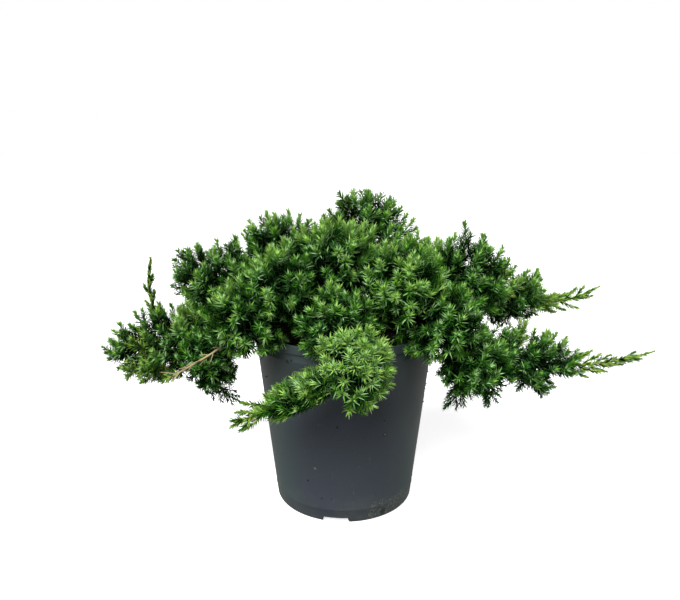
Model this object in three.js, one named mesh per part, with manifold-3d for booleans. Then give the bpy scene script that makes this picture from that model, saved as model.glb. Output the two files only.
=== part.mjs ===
// A creeping juniper in its round nursery pot, in millimetres, +Z up.
// The origin is the middle of the pot's flat underside. +X is the side that the longest bough points to,
// and -Y is the front, where one bough hangs over the rim.
//
// The plant is a short leaning stem in the soil, one tapering limb to each mass of foliage, and the masses.
// A mass is one fused solid: a stem that goes on from its limb, and sprays of needles that leave that stem by
// a seeded rule. Each mass keeps to a space of its own: an ellipsoid, cut by the planes between it and the
// masses beside it.
import * as THREE from "three";
import { mergeVertices } from "three/addons/utils/BufferGeometryUtils.js";
import Module from "manifold-3d";

const wasm = await Module();
wasm.setup();

// Driving dimensions of the pot
const RIM_RADIUS = 82.5;
const POT_HEIGHT = 165;
const BASE_RADIUS = 63.5;
const WALL = 1.6;
const LIP_HEIGHT = 8;
const LIP_PROUD = 0.5;
const FOOT_ROUND = 3.5;
const FLOOR_THICKNESS = 7;
const POT_SIDES = 44;

// Drainage notches: slots in the foot that reach the edge of a flat middle pad
const NOTCHES = 3;
const NOTCH_FRONT_TURN = -97;
const NOTCH_WIDTH = 25;
const NOTCH_TOP_WIDTH = 21;
const NOTCH_DEPTH = 5;
const PAD_RADIUS = 36;

// Soil, stem and the clearances between pieces
const CLEARANCE = 0.3;
const SOIL_TOP = 151;
const SOIL_DOME = 3;
const SOIL_FLAT_RADIUS = 18;
const STEM_HEIGHT = 52;
const STEM_RADIUS = 7.5;
const STEM_TIP_RADIUS = 5.2;
const STEM_FLARE = 4.5;
const STEM_FLARE_HEIGHT = 9;
const STEM_ROOT_RIDGES = 5;
const STEM_LEAN = new THREE.Vector3(7, 6, STEM_HEIGHT);
const LIMB_RADIUS = 2.2;
const LIMB_RADIUS_PER_REACH = 0.006;
const LIMB_TIP_RADIUS = 1.8;
const LIMB_RIM_CLEARANCE = 7;
const LIMB_PAST_RIM = 4;
const LIMB_ARCH = 4;
const LIMB_CREST_SHARE = 0.52;
const LIMB_CREST_FROM = 8;
const LIMB_CREST_RISE = 0.25;
const LONG_LIMB_SHARE = 0.7;
const SHORT_LIMB_BEND = 0.45;
const MASS_STEM_TIP_RADIUS = 1.1;

// Where a mass's own stem starts and ends, as shares of its length radius behind and past its middle
const ENTRY_SHARE = 0.8;
const END_SHARE = 0.62;
const STEM_BEND = 0.4;

// A spray of needles: a slim core in bands, with six needles to each band. Leaders are thin long sprays.
const SPRAY = { core: 3.1, needle: 13, spread: 1.1, band: 9, bands: 3 };
const LEADER = { core: 1.8, needle: 6.5, spread: 0.6, band: 9, bands: 4 };
const DENSE_BANDS = 2;
const FEWEST_BANDS = 2;
const BARE_ROOT_SHARE = 0.6;
const CORE_TAPER = 0.4;
const TIP_SHARE = 0.92;
const YOUNG_FROM = 0.7;
const YOUNG_SHORTER = 0.3;
const YOUNG_CLOSER = 0.5;
const SECOND_SPREAD = 0.75;
const FRAME_STEPS = 48;

// Where sprays stand: their tips lie near the surface of the ellipsoid, spread by two even strides
const SPRAY_TRIES = 90;
const TIP_SPACING = 19;
const HEIGHT_STRIDE = 0.7548776662;
const TURN_STRIDE = 0.569840291;
const HEIGHT_RANGE = 1.6;
const TIP_REACH = { least: 0.86, more: 0.1 };
const TIP_MARGIN = 5;
const SPACE_SHARE = 1.1;
const EXPOSED_SHARE = 0.6;
const LEAVE = { behind: 0.28, first: 0.06, last: 0.96 };
const SPRAY_RISE = { along: 0.4, up: 0.35, more: 0.3 };

// Leaders, dense cores and the finest detail that is kept
const LEADER_AT = 0.9;
const LEADER_RUN_ON = 12;
const LEADER_BARE = 0.12;
const LEADER_SLEEVE = 6;
const CORE_SHARE = 0.45;
const CORE_LUMPS = 0.12;
const CORE_MARGIN = 1;
const SMALLEST_DETAILS = [0.35, 0.3, 0.25, 0.2, 0.1];

// Colours taken from the photograph by eye
const FOLIAGE = { dark: 0x1f4a1c, mid: 0x2f6b26, fresh: 0x5f9433 };
const BARK = 0x5b4030;
const POT_GREY = 0x3a3f45;
const PEAT = 0x1d1510;

// The masses. azimuth, reach and height place the middle of a mass round the pot's axis, in degrees and
// millimetres. radii are the ellipsoid's, along its heading, across it and upwards. heading is where its stem
// points, its azimuth unless given, and pitch is how far that stem rises. from is the height on the main stem
// where its limb leaves. leaders are long thin shoots past the ellipsoid: a length, a turn, a rise, the share
// of the mass's stem where they leave it and how far their middle sags.
const MASSES = [
  { name: "right_low", azimuth: -6, reach: 158, height: 141, radii: [60, 46, 31], pitch: -11, from: 20,
    sprays: 9, tint: "mid", leaders: [{ length: 84, turn: 3, rise: 8, sag: 10 },
      { length: 44, turn: 18, rise: -56, at: 0.62 }] },
  { name: "right_hanging", azimuth: -27, reach: 119, height: 148, radii: [36, 36, 31], pitch: -25, from: 7,
    sprays: 7, tint: "dark", leaders: [{ length: 48, turn: 192, rise: -72, at: 0.5 },
      { length: 40, turn: 27, rise: -68, at: 0.7 }] },
  { name: "right_high", azimuth: 5, reach: 146, height: 190, radii: [52, 46, 34], pitch: -8, from: 33,
    sprays: 8, tint: "mid", leaders: [{ length: 60, turn: -4, rise: 7, sag: 12 }] },
  { name: "right_shoulder", azimuth: -8, reach: 105, height: 210, radii: [44, 46, 42], pitch: 14, from: 45,
    sprays: 8, tint: "mid", dense: true, leaders: [{ length: 58, turn: 10, rise: 78, at: 0.38 }] },
  { name: "right_front", azimuth: -40, reach: 98, height: 184, radii: [40, 42, 37], pitch: -5, from: 25,
    sprays: 7, tint: "mid", dense: true, leaders: [] },
  { name: "crown_top", azimuth: 52, reach: 28, height: 242, radii: [43, 56, 44], pitch: 60, from: 52,
    sprays: 9, tint: "mid", dense: true, leaders: [{ length: 52, turn: 128, rise: 70, at: 0.5 }] },
  { name: "crown_left", azimuth: 167, reach: 54, height: 226, radii: [46, 50, 42], pitch: 35, from: 48,
    sprays: 8, tint: "mid", dense: true, leaders: [] },
  { name: "crown_front", azimuth: -96, reach: 36, height: 225, radii: [44, 52, 42], pitch: 40, from: 47.5,
    sprays: 7, tint: "fresh", dense: true, leaders: [] },
  { name: "left_shoulder", azimuth: 184, reach: 107, height: 203, radii: [45, 52, 43], pitch: 14, from: 37,
    sprays: 8, tint: "mid", dense: true, leaders: [{ length: 24, turn: -6, rise: 52 },
      { length: 50, turn: 180, rise: 86, at: 0.45 }] },
  { name: "left_low", azimuth: 184, reach: 164, height: 151, radii: [52, 46, 36], pitch: -12, from: 18,
    sprays: 9, tint: "mid", leaders: [{ length: 82, turn: 0, rise: 79, at: 0.47 }] },
  { name: "left_hanging", azimuth: -162, reach: 125, height: 143, radii: [25, 30, 32], pitch: -25, from: 7,
    sprays: 7, tint: "dark", leaders: [{ length: 50, turn: 162, rise: -58, at: 0.5 }] },
  { name: "left_front", azimuth: -142, reach: 98, height: 187, radii: [38, 42, 34], pitch: -2, from: 26,
    sprays: 7, tint: "mid", dense: true, leaders: [] },
  { name: "centre_front_left", azimuth: -131, reach: 76, height: 208, radii: [44, 46, 44], pitch: 10, from: 35,
    sprays: 7, tint: "fresh", dense: true, leaders: [] },
  { name: "centre_front_right", azimuth: -52, reach: 76, height: 210, radii: [46, 48, 44], pitch: 10, from: 43,
    sprays: 7, tint: "fresh", dense: true, leaders: [] },
  { name: "front_low", azimuth: -94, reach: 84, height: 184, radii: [38, 52, 36], pitch: -8, from: 30,
    sprays: 7, tint: "mid", dense: true, leaders: [] },
  { name: "front_bough", azimuth: -88, reach: 119, height: 163, radii: [36, 32, 33], pitch: -32, from: 22,
    sprays: 7, tint: "fresh", leaders: [] },
  { name: "front_left_spray", azimuth: -106, reach: 122, height: 143, radii: [42, 16, 15], heading: 188,
    pitch: -26, from: 14, sprays: 5, tint: "fresh", leaders: [{ length: 30, turn: 0, rise: -22 }] },
  { name: "back_left_low", azimuth: 146, reach: 150, height: 150, radii: [54, 50, 38], pitch: -10, from: 21,
    sprays: 6, tint: "mid", leaders: [{ length: 34, turn: 8, rise: 10 }] },
  { name: "back_low", azimuth: 97, reach: 136, height: 150, radii: [50, 50, 38], pitch: -10, from: 13,
    sprays: 6, tint: "mid", leaders: [{ length: 34, turn: -6, rise: 14 }] },
  { name: "back_right_low", azimuth: 47, reach: 148, height: 149, radii: [54, 52, 38], pitch: -10, from: 16,
    sprays: 6, tint: "mid", leaders: [{ length: 34, turn: 5, rise: 12 }] },
  { name: "back_left", azimuth: 132, reach: 98, height: 205, radii: [46, 52, 42], pitch: 12, from: 42,
    sprays: 6, tint: "mid", dense: true, leaders: [] },
  { name: "back_right", azimuth: 42, reach: 100, height: 200, radii: [46, 52, 42], pitch: 10, from: 40,
    sprays: 6, tint: "mid", dense: true, leaders: [] },
  { name: "crown_back", azimuth: 90, reach: 86, height: 214, radii: [46, 48, 43], pitch: 25, from: 46,
    sprays: 6, tint: "mid", dense: true, leaders: [] },
];

const UP = new THREE.Vector3(0, 0, 1);
const radians = THREE.MathUtils.degToRad;

/** A repeatable random number generator, each number from 0 to 1. */
function seededRandom(seed) {
  let state = (seed * 2654435761) >>> 0;
  const draw = () => {
    state = (Math.imul(state, 1664525) + 1013904223) >>> 0;
    return state / 4294967296;
  };
  draw();
  draw();
  return draw;
}

/** A unit vector at an angle round the pot's axis, rising by pitch degrees. */
function heading(azimuth, pitch) {
  const flat = Math.cos(radians(pitch));
  const turn = radians(azimuth);
  return new THREE.Vector3(flat * Math.cos(turn), flat * Math.sin(turn), Math.sin(radians(pitch)));
}

// Solids

/** A closed geometry as a solid that can be joined and cut. */
function toSolid(geometry) {
  const bare = geometry.index ? geometry.toNonIndexed() : geometry.clone();
  bare.deleteAttribute("normal");
  bare.deleteAttribute("uv");
  const merged = mergeVertices(bare, 1e-3);
  return new wasm.Manifold(new wasm.Mesh({
    numProp: 3,
    vertProperties: new Float32Array(merged.attributes.position.array),
    triVerts: new Uint32Array(merged.index.array),
  }));
}

/** The geometry of a solid. */
function toGeometry(solid) {
  const { vertProperties, triVerts } = solid.getMesh();
  const geometry = new THREE.BufferGeometry();
  geometry.setAttribute("position", new THREE.BufferAttribute(new Float32Array(vertProperties), 3));
  geometry.setIndex(new THREE.BufferAttribute(new Uint32Array(triVerts), 1));
  geometry.computeVertexNormals();
  return geometry;
}

/** The largest single body of a solid, without loose scraps. */
function largestBody(solid) {
  return solid.decompose().reduce((best, body) => (body.volume() > best.volume() ? body : best));
}

/** True if two faces meet at every edge, also where corners lie so close that they count as one. */
function isPlain(solid) {
  const { vertProperties, triVerts } = solid.getMesh();
  const corners = Array.from(triVerts, (index) => (
    Array.from(vertProperties.slice(index * 3, index * 3 + 3), (value) => value.toFixed(3)).join()
  ));
  const faceCounts = new Map();
  for (let i = 0; i < corners.length; i += 1) {
    const next = i % 3 === 2 ? i - 2 : i + 1;
    const edge = [corners[i], corners[next]].sort().join(" ");
    faceCounts.set(edge, (faceCounts.get(edge) ?? 0) + 1);
  }
  return [...faceCounts.values()].every((count) => count === 2);
}

/** The largest body of a solid, simplified as far as leaves it plain. */
function plainBody(solid) {
  const bodies = SMALLEST_DETAILS.map((detail) => largestBody(solid.asOriginal().simplify(detail)));
  return bodies.find(isPlain) ?? largestBody(solid);
}

/** Side and lift vectors square to a curve at each of count + 1 even steps, with no sudden twist. */
function framesAlong(curve, count) {
  const frames = [];
  let side = null;
  for (let step = 0; step <= count; step += 1) {
    const tangent = curve.getTangentAt(step / count);
    const guess = side ?? (Math.abs(tangent.z) > 0.9 ? new THREE.Vector3(1, 0, 0) : UP.clone());
    side = guess.clone().addScaledVector(tangent, -guess.dot(tangent)).normalize();
    frames.push({ point: curve.getPointAt(step / count), tangent, side, lift: tangent.clone().cross(side) });
  }
  return frames;
}

/** A closed round bar bent along a curve. radiusAt gives its radius from a share of its length and an angle. */
function bentBar(curve, sides, steps, radiusAt) {
  const geometry = new THREE.CylinderGeometry(1, 1, 1, sides, steps);
  const frames = framesAlong(curve, steps);
  const position = geometry.attributes.position;
  for (let i = 0; i < position.count; i += 1) {
    const share = position.getY(i) + 0.5;
    const { point, side, lift } = frames[Math.round(share * steps)];
    const across = Math.hypot(position.getX(i), position.getZ(i));
    const angle = Math.atan2(position.getZ(i), position.getX(i));
    const radius = across * radiusAt(share, angle);
    const place = point.clone()
      .addScaledVector(side, radius * Math.cos(angle))
      .addScaledVector(lift, -radius * Math.sin(angle));
    position.setXYZ(i, place.x, place.y, place.z);
  }
  return geometry;
}

/** Radius of a limb that tapers evenly. */
function taper(root, tip, extra = 0) {
  return (share) => THREE.MathUtils.lerp(root, tip, share) + extra;
}

// Pot, soil and main stem

/** Outer radius of the pot's plain wall at a height. */
function potRadiusAt(height) {
  return THREE.MathUtils.lerp(BASE_RADIUS, RIM_RADIUS - LIP_PROUD, height / POT_HEIGHT);
}

/** The pot: a tapering shell with a low lip, a rounded foot and drainage notches that leave a middle pad. */
function potSolid() {
  const lipFoot = POT_HEIGHT - LIP_HEIGHT;
  const footRound = [0, 1, 2, 3].map((step) => {
    const turn = (step / 3) * (Math.PI / 2);
    return [
      potRadiusAt(FOOT_ROUND) - FOOT_ROUND * (1 - Math.sin(turn)),
      FOOT_ROUND * (1 - Math.cos(turn)),
    ];
  });
  const profile = [
    [0, 0],
    ...footRound,
    [potRadiusAt(lipFoot), lipFoot],
    [RIM_RADIUS, lipFoot + LIP_PROUD],
    [RIM_RADIUS, POT_HEIGHT - 1],
    [RIM_RADIUS - 1, POT_HEIGHT],
    [potRadiusAt(POT_HEIGHT) - WALL, POT_HEIGHT],
    [potRadiusAt(FLOOR_THICKNESS) - WALL, FLOOR_THICKNESS],
    [0, FLOOR_THICKNESS],
  ];
  const turned = new THREE.LatheGeometry(profile.map(([x, y]) => new THREE.Vector2(x, y)), POT_SIDES);
  let pot = toSolid(turned.rotateX(Math.PI / 2));
  if (pot.volume() < 0) throw new Error("the pot's profile is inside out");
  const slotShape = new THREE.Shape([
    new THREE.Vector2(-NOTCH_WIDTH / 2, -1),
    new THREE.Vector2(NOTCH_WIDTH / 2, -1),
    new THREE.Vector2(NOTCH_TOP_WIDTH / 2, NOTCH_DEPTH),
    new THREE.Vector2(-NOTCH_TOP_WIDTH / 2, NOTCH_DEPTH),
  ]);
  for (let notch = 0; notch < NOTCHES; notch += 1) {
    const slot = new THREE.ExtrudeGeometry(slotShape, { depth: BASE_RADIUS, bevelEnabled: false });
    slot.rotateX(Math.PI / 2).rotateZ(Math.PI / 2 + Math.PI);
    slot.translate(-PAD_RADIUS, 0, 0);
    slot.rotateZ(Math.PI + radians(NOTCH_FRONT_TURN + (notch * 360) / NOTCHES));
    pot = pot.subtract(toSolid(slot));
  }
  return pot;
}

/** The soil: fills the pot to below the rim, slightly domed, with a flat middle that the stem stands on. */
function soilSolid() {
  const innerRadiusAt = (height) => potRadiusAt(height) - WALL - CLEARANCE;
  const foot = FLOOR_THICKNESS + CLEARANCE;
  const edge = SOIL_TOP - SOIL_DOME;
  const profile = [
    [0, foot],
    [innerRadiusAt(foot), foot],
    [innerRadiusAt(edge), edge],
    [innerRadiusAt(edge) * 0.6, SOIL_TOP - SOIL_DOME * 0.3],
    [SOIL_FLAT_RADIUS, SOIL_TOP],
    [0, SOIL_TOP],
  ];
  const turned = new THREE.LatheGeometry(profile.map(([x, y]) => new THREE.Vector2(x, y)), POT_SIDES / 2);
  return toSolid(turned.rotateX(Math.PI / 2));
}

const STEM_FOOT = new THREE.Vector3(0, 0, SOIL_TOP + CLEARANCE);

/** The line up the middle of the main stem. */
const stemLine = new THREE.QuadraticBezierCurve3(
  STEM_FOOT,
  STEM_FOOT.clone().add(new THREE.Vector3(0, 0, STEM_HEIGHT * 0.45)),
  STEM_FOOT.clone().add(STEM_LEAN),
);

/** The main stem, flared at the soil with low root ridges. extra thickens it all round. */
function stemSolid(extra) {
  const radiusAt = (share, angle) => {
    const flare = Math.exp((-share * STEM_HEIGHT) / STEM_FLARE_HEIGHT) * STEM_FLARE;
    const ridge = 1 + 0.3 * Math.cos(STEM_ROOT_RIDGES * angle);
    return THREE.MathUtils.lerp(STEM_RADIUS, STEM_TIP_RADIUS, share) + flare * ridge + extra;
  };
  return toSolid(bentBar(stemLine, 15, 5, radiusAt));
}

// Spaces, limbs and mass stems

/** Works out a mass's own axes, middle and stem ends from its named sizes. */
function placeMass(mass, index) {
  const along = heading(mass.heading ?? mass.azimuth, mass.pitch);
  const across = UP.clone().cross(along).normalize();
  const lift = along.clone().cross(across);
  const middle = heading(mass.azimuth, 0).multiplyScalar(mass.reach).setZ(mass.height);
  const entry = middle.clone().addScaledVector(along, -ENTRY_SHARE * mass.radii[0]);
  const end = middle.clone().addScaledVector(along, END_SHARE * mass.radii[0]);
  return { ...mass, index, axes: [along, across, lift], middle, entry, end };
}

/** How far a mass's ellipsoid reaches from its middle in a direction. */
function extentOf(mass, direction) {
  return Math.hypot(...mass.axes.map((axis, i) => axis.dot(direction) * mass.radii[i]));
}

/** The planes that part a mass's space from its neighbours': a point and a normal that points out. */
function partingPlanes(mass, all) {
  return all.filter((other) => other !== mass).map((other) => {
    const apart = other.middle.clone().sub(mass.middle);
    const distance = apart.length();
    const normal = apart.divideScalar(distance);
    const own = extentOf(mass, normal);
    const share = own / (own + extentOf(other, normal));
    return { point: mass.middle.clone().addScaledVector(normal, share * distance), normal };
  });
}

/** True if a point lies in the mass's own space: its ellipsoid, and its own side of every parting plane. */
function isInSpace(point, mass) {
  const offset = point.clone().sub(mass.middle);
  const share = Math.hypot(...mass.axes.map((axis, k) => axis.dot(offset) / mass.radii[k]));
  return share < SPACE_SHARE
    && mass.planes.every((plane) => point.clone().sub(plane.point).dot(plane.normal) < -CLEARANCE / 2);
}

/** The share of an offset from a mass's middle that stays a margin inside its parting planes, 1 at most. */
function roomAlong(mass, offset, margin) {
  return Math.min(1, ...mass.planes.map(({ point, normal }) => {
    const closing = offset.dot(normal);
    return closing > 1e-6 ? (point.clone().sub(mass.middle).dot(normal) - margin) / closing : 1;
  }));
}

/** The line of the limb from the main stem to where it enters its mass, over the rim where it has to. */
function limbLine(mass) {
  const start = stemLine.getPointAt(THREE.MathUtils.clamp(mass.from / STEM_HEIGHT, 0, 1));
  const end = mass.entry.clone();
  const flatReach = Math.hypot(end.x, end.y);
  const points = [start];
  const between = start.clone().lerp(end, SHORT_LIMB_BEND);
  if (flatReach > RIM_RADIUS * LONG_LIMB_SHARE) {
    const outward = new THREE.Vector3(end.x, end.y, 0).normalize();
    const spare = Math.max(0, (mass.from - LIMB_CREST_FROM) * LIMB_CREST_RISE);
    const crest = POT_HEIGHT + LIMB_RIM_CLEARANCE + spare;
    between.copy(outward).multiplyScalar(RIM_RADIUS * LIMB_CREST_SHARE).setZ(Math.max(between.z, crest));
    points.push(between);
    if (flatReach > RIM_RADIUS && end.z < crest) {
      points.push(outward.clone().multiplyScalar(RIM_RADIUS + LIMB_PAST_RIM).setZ(crest));
    }
  } else {
    between.z += LIMB_ARCH;
    points.push(between);
  }
  points.push(end);
  return new THREE.CatmullRomCurve3(points, false, "centripetal");
}

/** The line of a mass's own stem, which goes on from its limb and turns up a little at its end. */
function massStemLine(mass) {
  const direction = mass.limb.getTangentAt(1);
  const start = mass.entry.clone().addScaledVector(direction, CLEARANCE);
  const length = start.distanceTo(mass.end);
  const bend = start.clone().addScaledVector(direction, length * STEM_BEND);
  return new THREE.QuadraticBezierCurve3(start, bend, mass.end);
}

const masses = MASSES.map(placeMass);
for (const mass of masses) {
  mass.planes = partingPlanes(mass, masses);
  mass.limb = limbLine(mass);
  mass.stem = massStemLine(mass);
}

/** A limb, thickened by extra, before it is cut to sit on the main stem. */
function limbBar(mass, extra) {
  const root = LIMB_RADIUS + LIMB_RADIUS_PER_REACH * mass.reach;
  return bentBar(mass.limb, 4, 5, taper(root, LIMB_TIP_RADIUS, extra));
}

/** A mass's own stem, thickened by extra. */
function massStemBar(mass, extra) {
  return bentBar(mass.stem, 4, 3, taper(LIMB_TIP_RADIUS, MASS_STEM_TIP_RADIUS, extra));
}

// Sprays of needles

/**
 * One spray as a closed geometry: a three-sided core along a curve, bare up to a share of it. From there on
 * every face between two rings is drawn out into a needle that points outwards and forwards, and left flat
 * where that needle would leave the space. Nothing is made if the core itself leaves the space.
 */
function sprayGeometry(curve, kind, bareShare, bands, isFree) {
  const frames = framesAlong(curve, FRAME_STEPS);
  const ringShares = [0];
  for (let band = 0; band <= bands; band += 1) {
    ringShares.push(bareShare + ((TIP_SHARE - bareShare) * band) / bands);
  }
  const vertices = [];
  const faces = [];
  const addVertex = (point) => vertices.push(point.x, point.y, point.z) / 3 - 1;
  const vertexAt = (index) => new THREE.Vector3(...vertices.slice(index * 3, index * 3 + 3));
  const frameAt = (share) => frames[Math.round(share * FRAME_STEPS)];
  const rings = ringShares.map((share, ring) => {
    const { point, side, lift } = frameAt(share);
    const radius = kind.core * (ring === 0 ? BARE_ROOT_SHARE : 1 - CORE_TAPER * share ** 3);
    return [0, 1, 2].map((corner) => {
      const angle = (corner * 2 * Math.PI) / 3 + (ring * Math.PI) / 3;
      return addVertex(point.clone()
        .addScaledVector(side, radius * Math.cos(angle))
        .addScaledVector(lift, radius * Math.sin(angle)));
    });
  });
  const growNeedle = (corners, frame, spread, young) => {
    const root = new THREE.Vector3();
    corners.forEach((index) => root.addScaledVector(vertexAt(index), 1 / 3));
    const outward = root.clone().sub(frame.point);
    outward.addScaledVector(frame.tangent, -outward.dot(frame.tangent)).normalize();
    const length = kind.needle * (1 - YOUNG_SHORTER * young);
    const angle = spread * (1 - YOUNG_CLOSER * young);
    const point = root
      .addScaledVector(outward, length * Math.sin(angle))
      .addScaledVector(frame.tangent, length * Math.cos(angle));
    if (!isFree(point)) {
      faces.push(corners);
      return;
    }
    const tip = addVertex(point);
    corners.forEach((corner, i) => faces.push([corner, corners[(i + 1) % 3], tip]));
  };
  const coreIsFree = rings.flat().every((index) => isFree(vertexAt(index)));
  if (!coreIsFree || !isFree(curve.getPointAt(1))) return null;
  faces.push([rings[0][2], rings[0][1], rings[0][0]]);
  for (let ring = 0; ring <= bands; ring += 1) {
    const frame = frameAt(ringShares[ring]);
    const young = THREE.MathUtils.smoothstep(ringShares[ring], YOUNG_FROM, 1);
    for (let i = 0; i < 3; i += 1) {
      const next = (i + 1) % 3;
      const rising = [rings[ring][i], rings[ring][next], rings[ring + 1][i]];
      const falling = [rings[ring][next], rings[ring + 1][next], rings[ring + 1][i]];
      if (ring === 0) {
        faces.push(rising, falling);
      } else {
        growNeedle(rising, frame, kind.spread, young);
        growNeedle(falling, frame, kind.spread * SECOND_SPREAD, young);
      }
    }
  }
  const last = rings[bands + 1];
  const apex = addVertex(curve.getPointAt(1));
  last.forEach((corner, i) => faces.push([corner, last[(i + 1) % 3], apex]));
  const geometry = new THREE.BufferGeometry();
  geometry.setAttribute("position", new THREE.Float32BufferAttribute(vertices, 3));
  geometry.setIndex(faces.flat());
  return geometry;
}

/** Where one number of an even, unordered sequence falls, from 0 to 1. */
function evenStep(index, stride, offset) {
  return (offset + index * stride) % 1;
}

/**
 * The curve of a mass's spray by its number: from the mass's stem out to the surface of its space. exposed is
 * false where a neighbouring mass closes that side, so that a spray there would be hidden.
 */
function sprayCurve(mass, number) {
  const random = seededRandom(mass.index * 1000 + number + 1);
  const height = 1 - HEIGHT_RANGE * evenStep(number, HEIGHT_STRIDE, 0.13 + mass.index * 0.37);
  const turn = 2 * Math.PI * evenStep(number, TURN_STRIDE, mass.index * 0.61);
  const flat = Math.sqrt(1 - height * height);
  const [along, across, lift] = mass.axes;
  const outward = new THREE.Vector3()
    .addScaledVector(along, flat * Math.cos(turn) * mass.radii[0])
    .addScaledVector(across, flat * Math.sin(turn) * mass.radii[1])
    .addScaledVector(lift, height * mass.radii[2]);
  const room = roomAlong(mass, outward, TIP_MARGIN);
  outward.multiplyScalar(Math.min(TIP_REACH.least + TIP_REACH.more * random(), room));
  const tip = mass.middle.clone().add(outward);
  const stemReach = (ENTRY_SHARE + END_SHARE) * mass.radii[0];
  const reachAlong = tip.clone().sub(mass.entry).dot(along) / stemReach;
  const leaveAt = THREE.MathUtils.clamp(reachAlong - LEAVE.behind, LEAVE.first, LEAVE.last);
  const leave = mass.stem.getPointAt(leaveAt);
  const length = leave.distanceTo(tip);
  const rise = outward.normalize()
    .addScaledVector(along, SPRAY_RISE.along)
    .addScaledVector(UP, SPRAY_RISE.up + SPRAY_RISE.more * random())
    .normalize();
  const bend = tip.clone().addScaledVector(rise, -length / 2);
  return { curve: new THREE.QuadraticBezierCurve3(leave, bend, tip), exposed: room > EXPOSED_SHARE };
}

/** The curve of a long thin shoot that goes on past the mass's own ellipsoid. */
function leaderCurve(mass, leader) {
  const start = mass.stem.getPointAt(leader.at ?? LEADER_AT);
  const aim = heading((mass.heading ?? mass.azimuth) + leader.turn, leader.rise);
  const first = mass.stem.getTangentAt(leader.at ?? LEADER_AT).lerp(aim, 0.5).normalize();
  const bend = start.clone().addScaledVector(first, leader.length / 2).addScaledVector(UP, -(leader.sag ?? 0));
  const tip = start.clone().addScaledVector(aim, leader.length + (leader.at ? 0 : LEADER_RUN_ON));
  return new THREE.QuadraticBezierCurve3(start, bend, tip);
}

/** The room that a leader takes up, as a plain bar round its curve. */
function leaderSleeve(mass, leader) {
  return bentBar(leaderCurve(mass, leader), 6, 4, () => LEADER_SLEEVE);
}

/** A lumpy core inside a dense mass, kept inside the parting planes. */
function coreGeometry(mass) {
  const geometry = new THREE.IcosahedronGeometry(1, 1);
  const position = geometry.attributes.position;
  const direction = new THREE.Vector3();
  for (let i = 0; i < position.count; i += 1) {
    direction.fromBufferAttribute(position, i).normalize();
    const waves = Math.sin(5 * direction.x + mass.index) * Math.cos(4 * direction.y - mass.index);
    const lump = 1 + CORE_LUMPS * waves;
    const outward = new THREE.Vector3();
    mass.axes.forEach((axis, k) => {
      outward.addScaledVector(axis, direction.getComponent(k) * mass.radii[k] * CORE_SHARE * lump);
    });
    outward.multiplyScalar(roomAlong(mass, outward, CORE_MARGIN)).add(mass.middle);
    position.setXYZ(i, outward.x, outward.y, outward.z);
  }
  return geometry;
}

/** A mass of foliage: its stem, its sprays and, where it is dense, its core, all fused. */
function massSolid(mass, obstacles) {
  let solid = toSolid(massStemBar(mass, 0));
  if (mass.dense) {
    solid = solid.add(largestBody(toSolid(coreGeometry(mass)).subtract(obstacles)));
  }
  const tryShoot = (curve, kind, bareShare, bands) => {
    const isFree = kind === SPRAY ? (point) => isInSpace(point, mass) : () => true;
    const geometry = sprayGeometry(curve, kind, bareShare, bands, isFree);
    if (!geometry) return false;
    const shoot = toSolid(geometry);
    if (!shoot.intersect(obstacles).isEmpty()) return false;
    solid = solid.add(shoot);
    return true;
  };
  for (const leader of mass.leaders) {
    tryShoot(leaderCurve(mass, leader), LEADER, LEADER_BARE, LEADER.bands);
  }
  const tips = [];
  for (let number = 0; number < SPRAY_TRIES && tips.length < mass.sprays; number += 1) {
    const { curve, exposed } = sprayCurve(mass, number);
    const crowded = tips.some((tip) => tip.distanceTo(curve.v2) < TIP_SPACING);
    if (!exposed || crowded) continue;
    const length = curve.getLength();
    const mostBands = mass.dense ? DENSE_BANDS : SPRAY.bands;
    const bands = Math.min(mostBands, Math.floor((length * 0.8) / SPRAY.band));
    if (bands < FEWEST_BANDS) continue;
    const bareShare = TIP_SHARE - (bands * SPRAY.band) / length;
    if (tryShoot(curve, SPRAY, Math.max(bareShare, 0.05), bands)) tips.push(curve.v2);
  }
  return plainBody(solid);
}

// The assembly

/** A named mesh with its own plain material. */
function namedMesh(name, solid, color, roughness) {
  const mesh = new THREE.Mesh(toGeometry(solid), new THREE.MeshStandardMaterial({ color, roughness }));
  mesh.name = name;
  return mesh;
}

const plant = new THREE.Group();
const pot = potSolid();
const soil = soilSolid();
const stem = stemSolid(0);
const thickStem = stemSolid(CLEARANCE);
plant.add(namedMesh("pot", pot, POT_GREY, 0.55));
plant.add(namedMesh("soil", soil, PEAT, 0.95));
plant.add(namedMesh("main_stem", stem, BARK, 0.85));

const limbs = masses.map((mass) => largestBody(toSolid(limbBar(mass, 0)).subtract(thickStem)));
masses.forEach((mass, i) => plant.add(namedMesh(`bough_${mass.name}`, limbs[i], BARK, 0.85)));

const thickLimbs = masses.map((mass) => toSolid(limbBar(mass, CLEARANCE)));
const thickMassStems = masses.map((mass) => {
  const sleeves = mass.leaders.map((leader) => toSolid(leaderSleeve(mass, leader)));
  return sleeves.reduce((all, solid) => all.add(solid), toSolid(massStemBar(mass, CLEARANCE)));
});
const fixedParts = [pot, soil, thickStem, ...thickLimbs].reduce((all, solid) => all.add(solid));
for (const mass of masses) {
  const otherStems = thickMassStems.filter((_, i) => i !== mass.index);
  const obstacles = otherStems.reduce((all, solid) => all.add(solid), fixedParts);
  plant.add(namedMesh(mass.name, massSolid(mass, obstacles), FOLIAGE[mass.tint], 0.7));
}

export default plant;
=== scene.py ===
"""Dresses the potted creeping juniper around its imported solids.

The foliage grows by the rule of the part's source, carried on to finer shoots. Each mass keeps to a space
of its own: an ellipsoid, cut by the planes between it and its neighbours. A stem runs into that space from
its bough, leading sprays leave the stem for points spread evenly over the ellipsoid, side shoots leave the
sprays, and whorls of three needles stand along every shoot. Growth is worked out in millimetres and made
into meshes in metres.
"""

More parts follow.
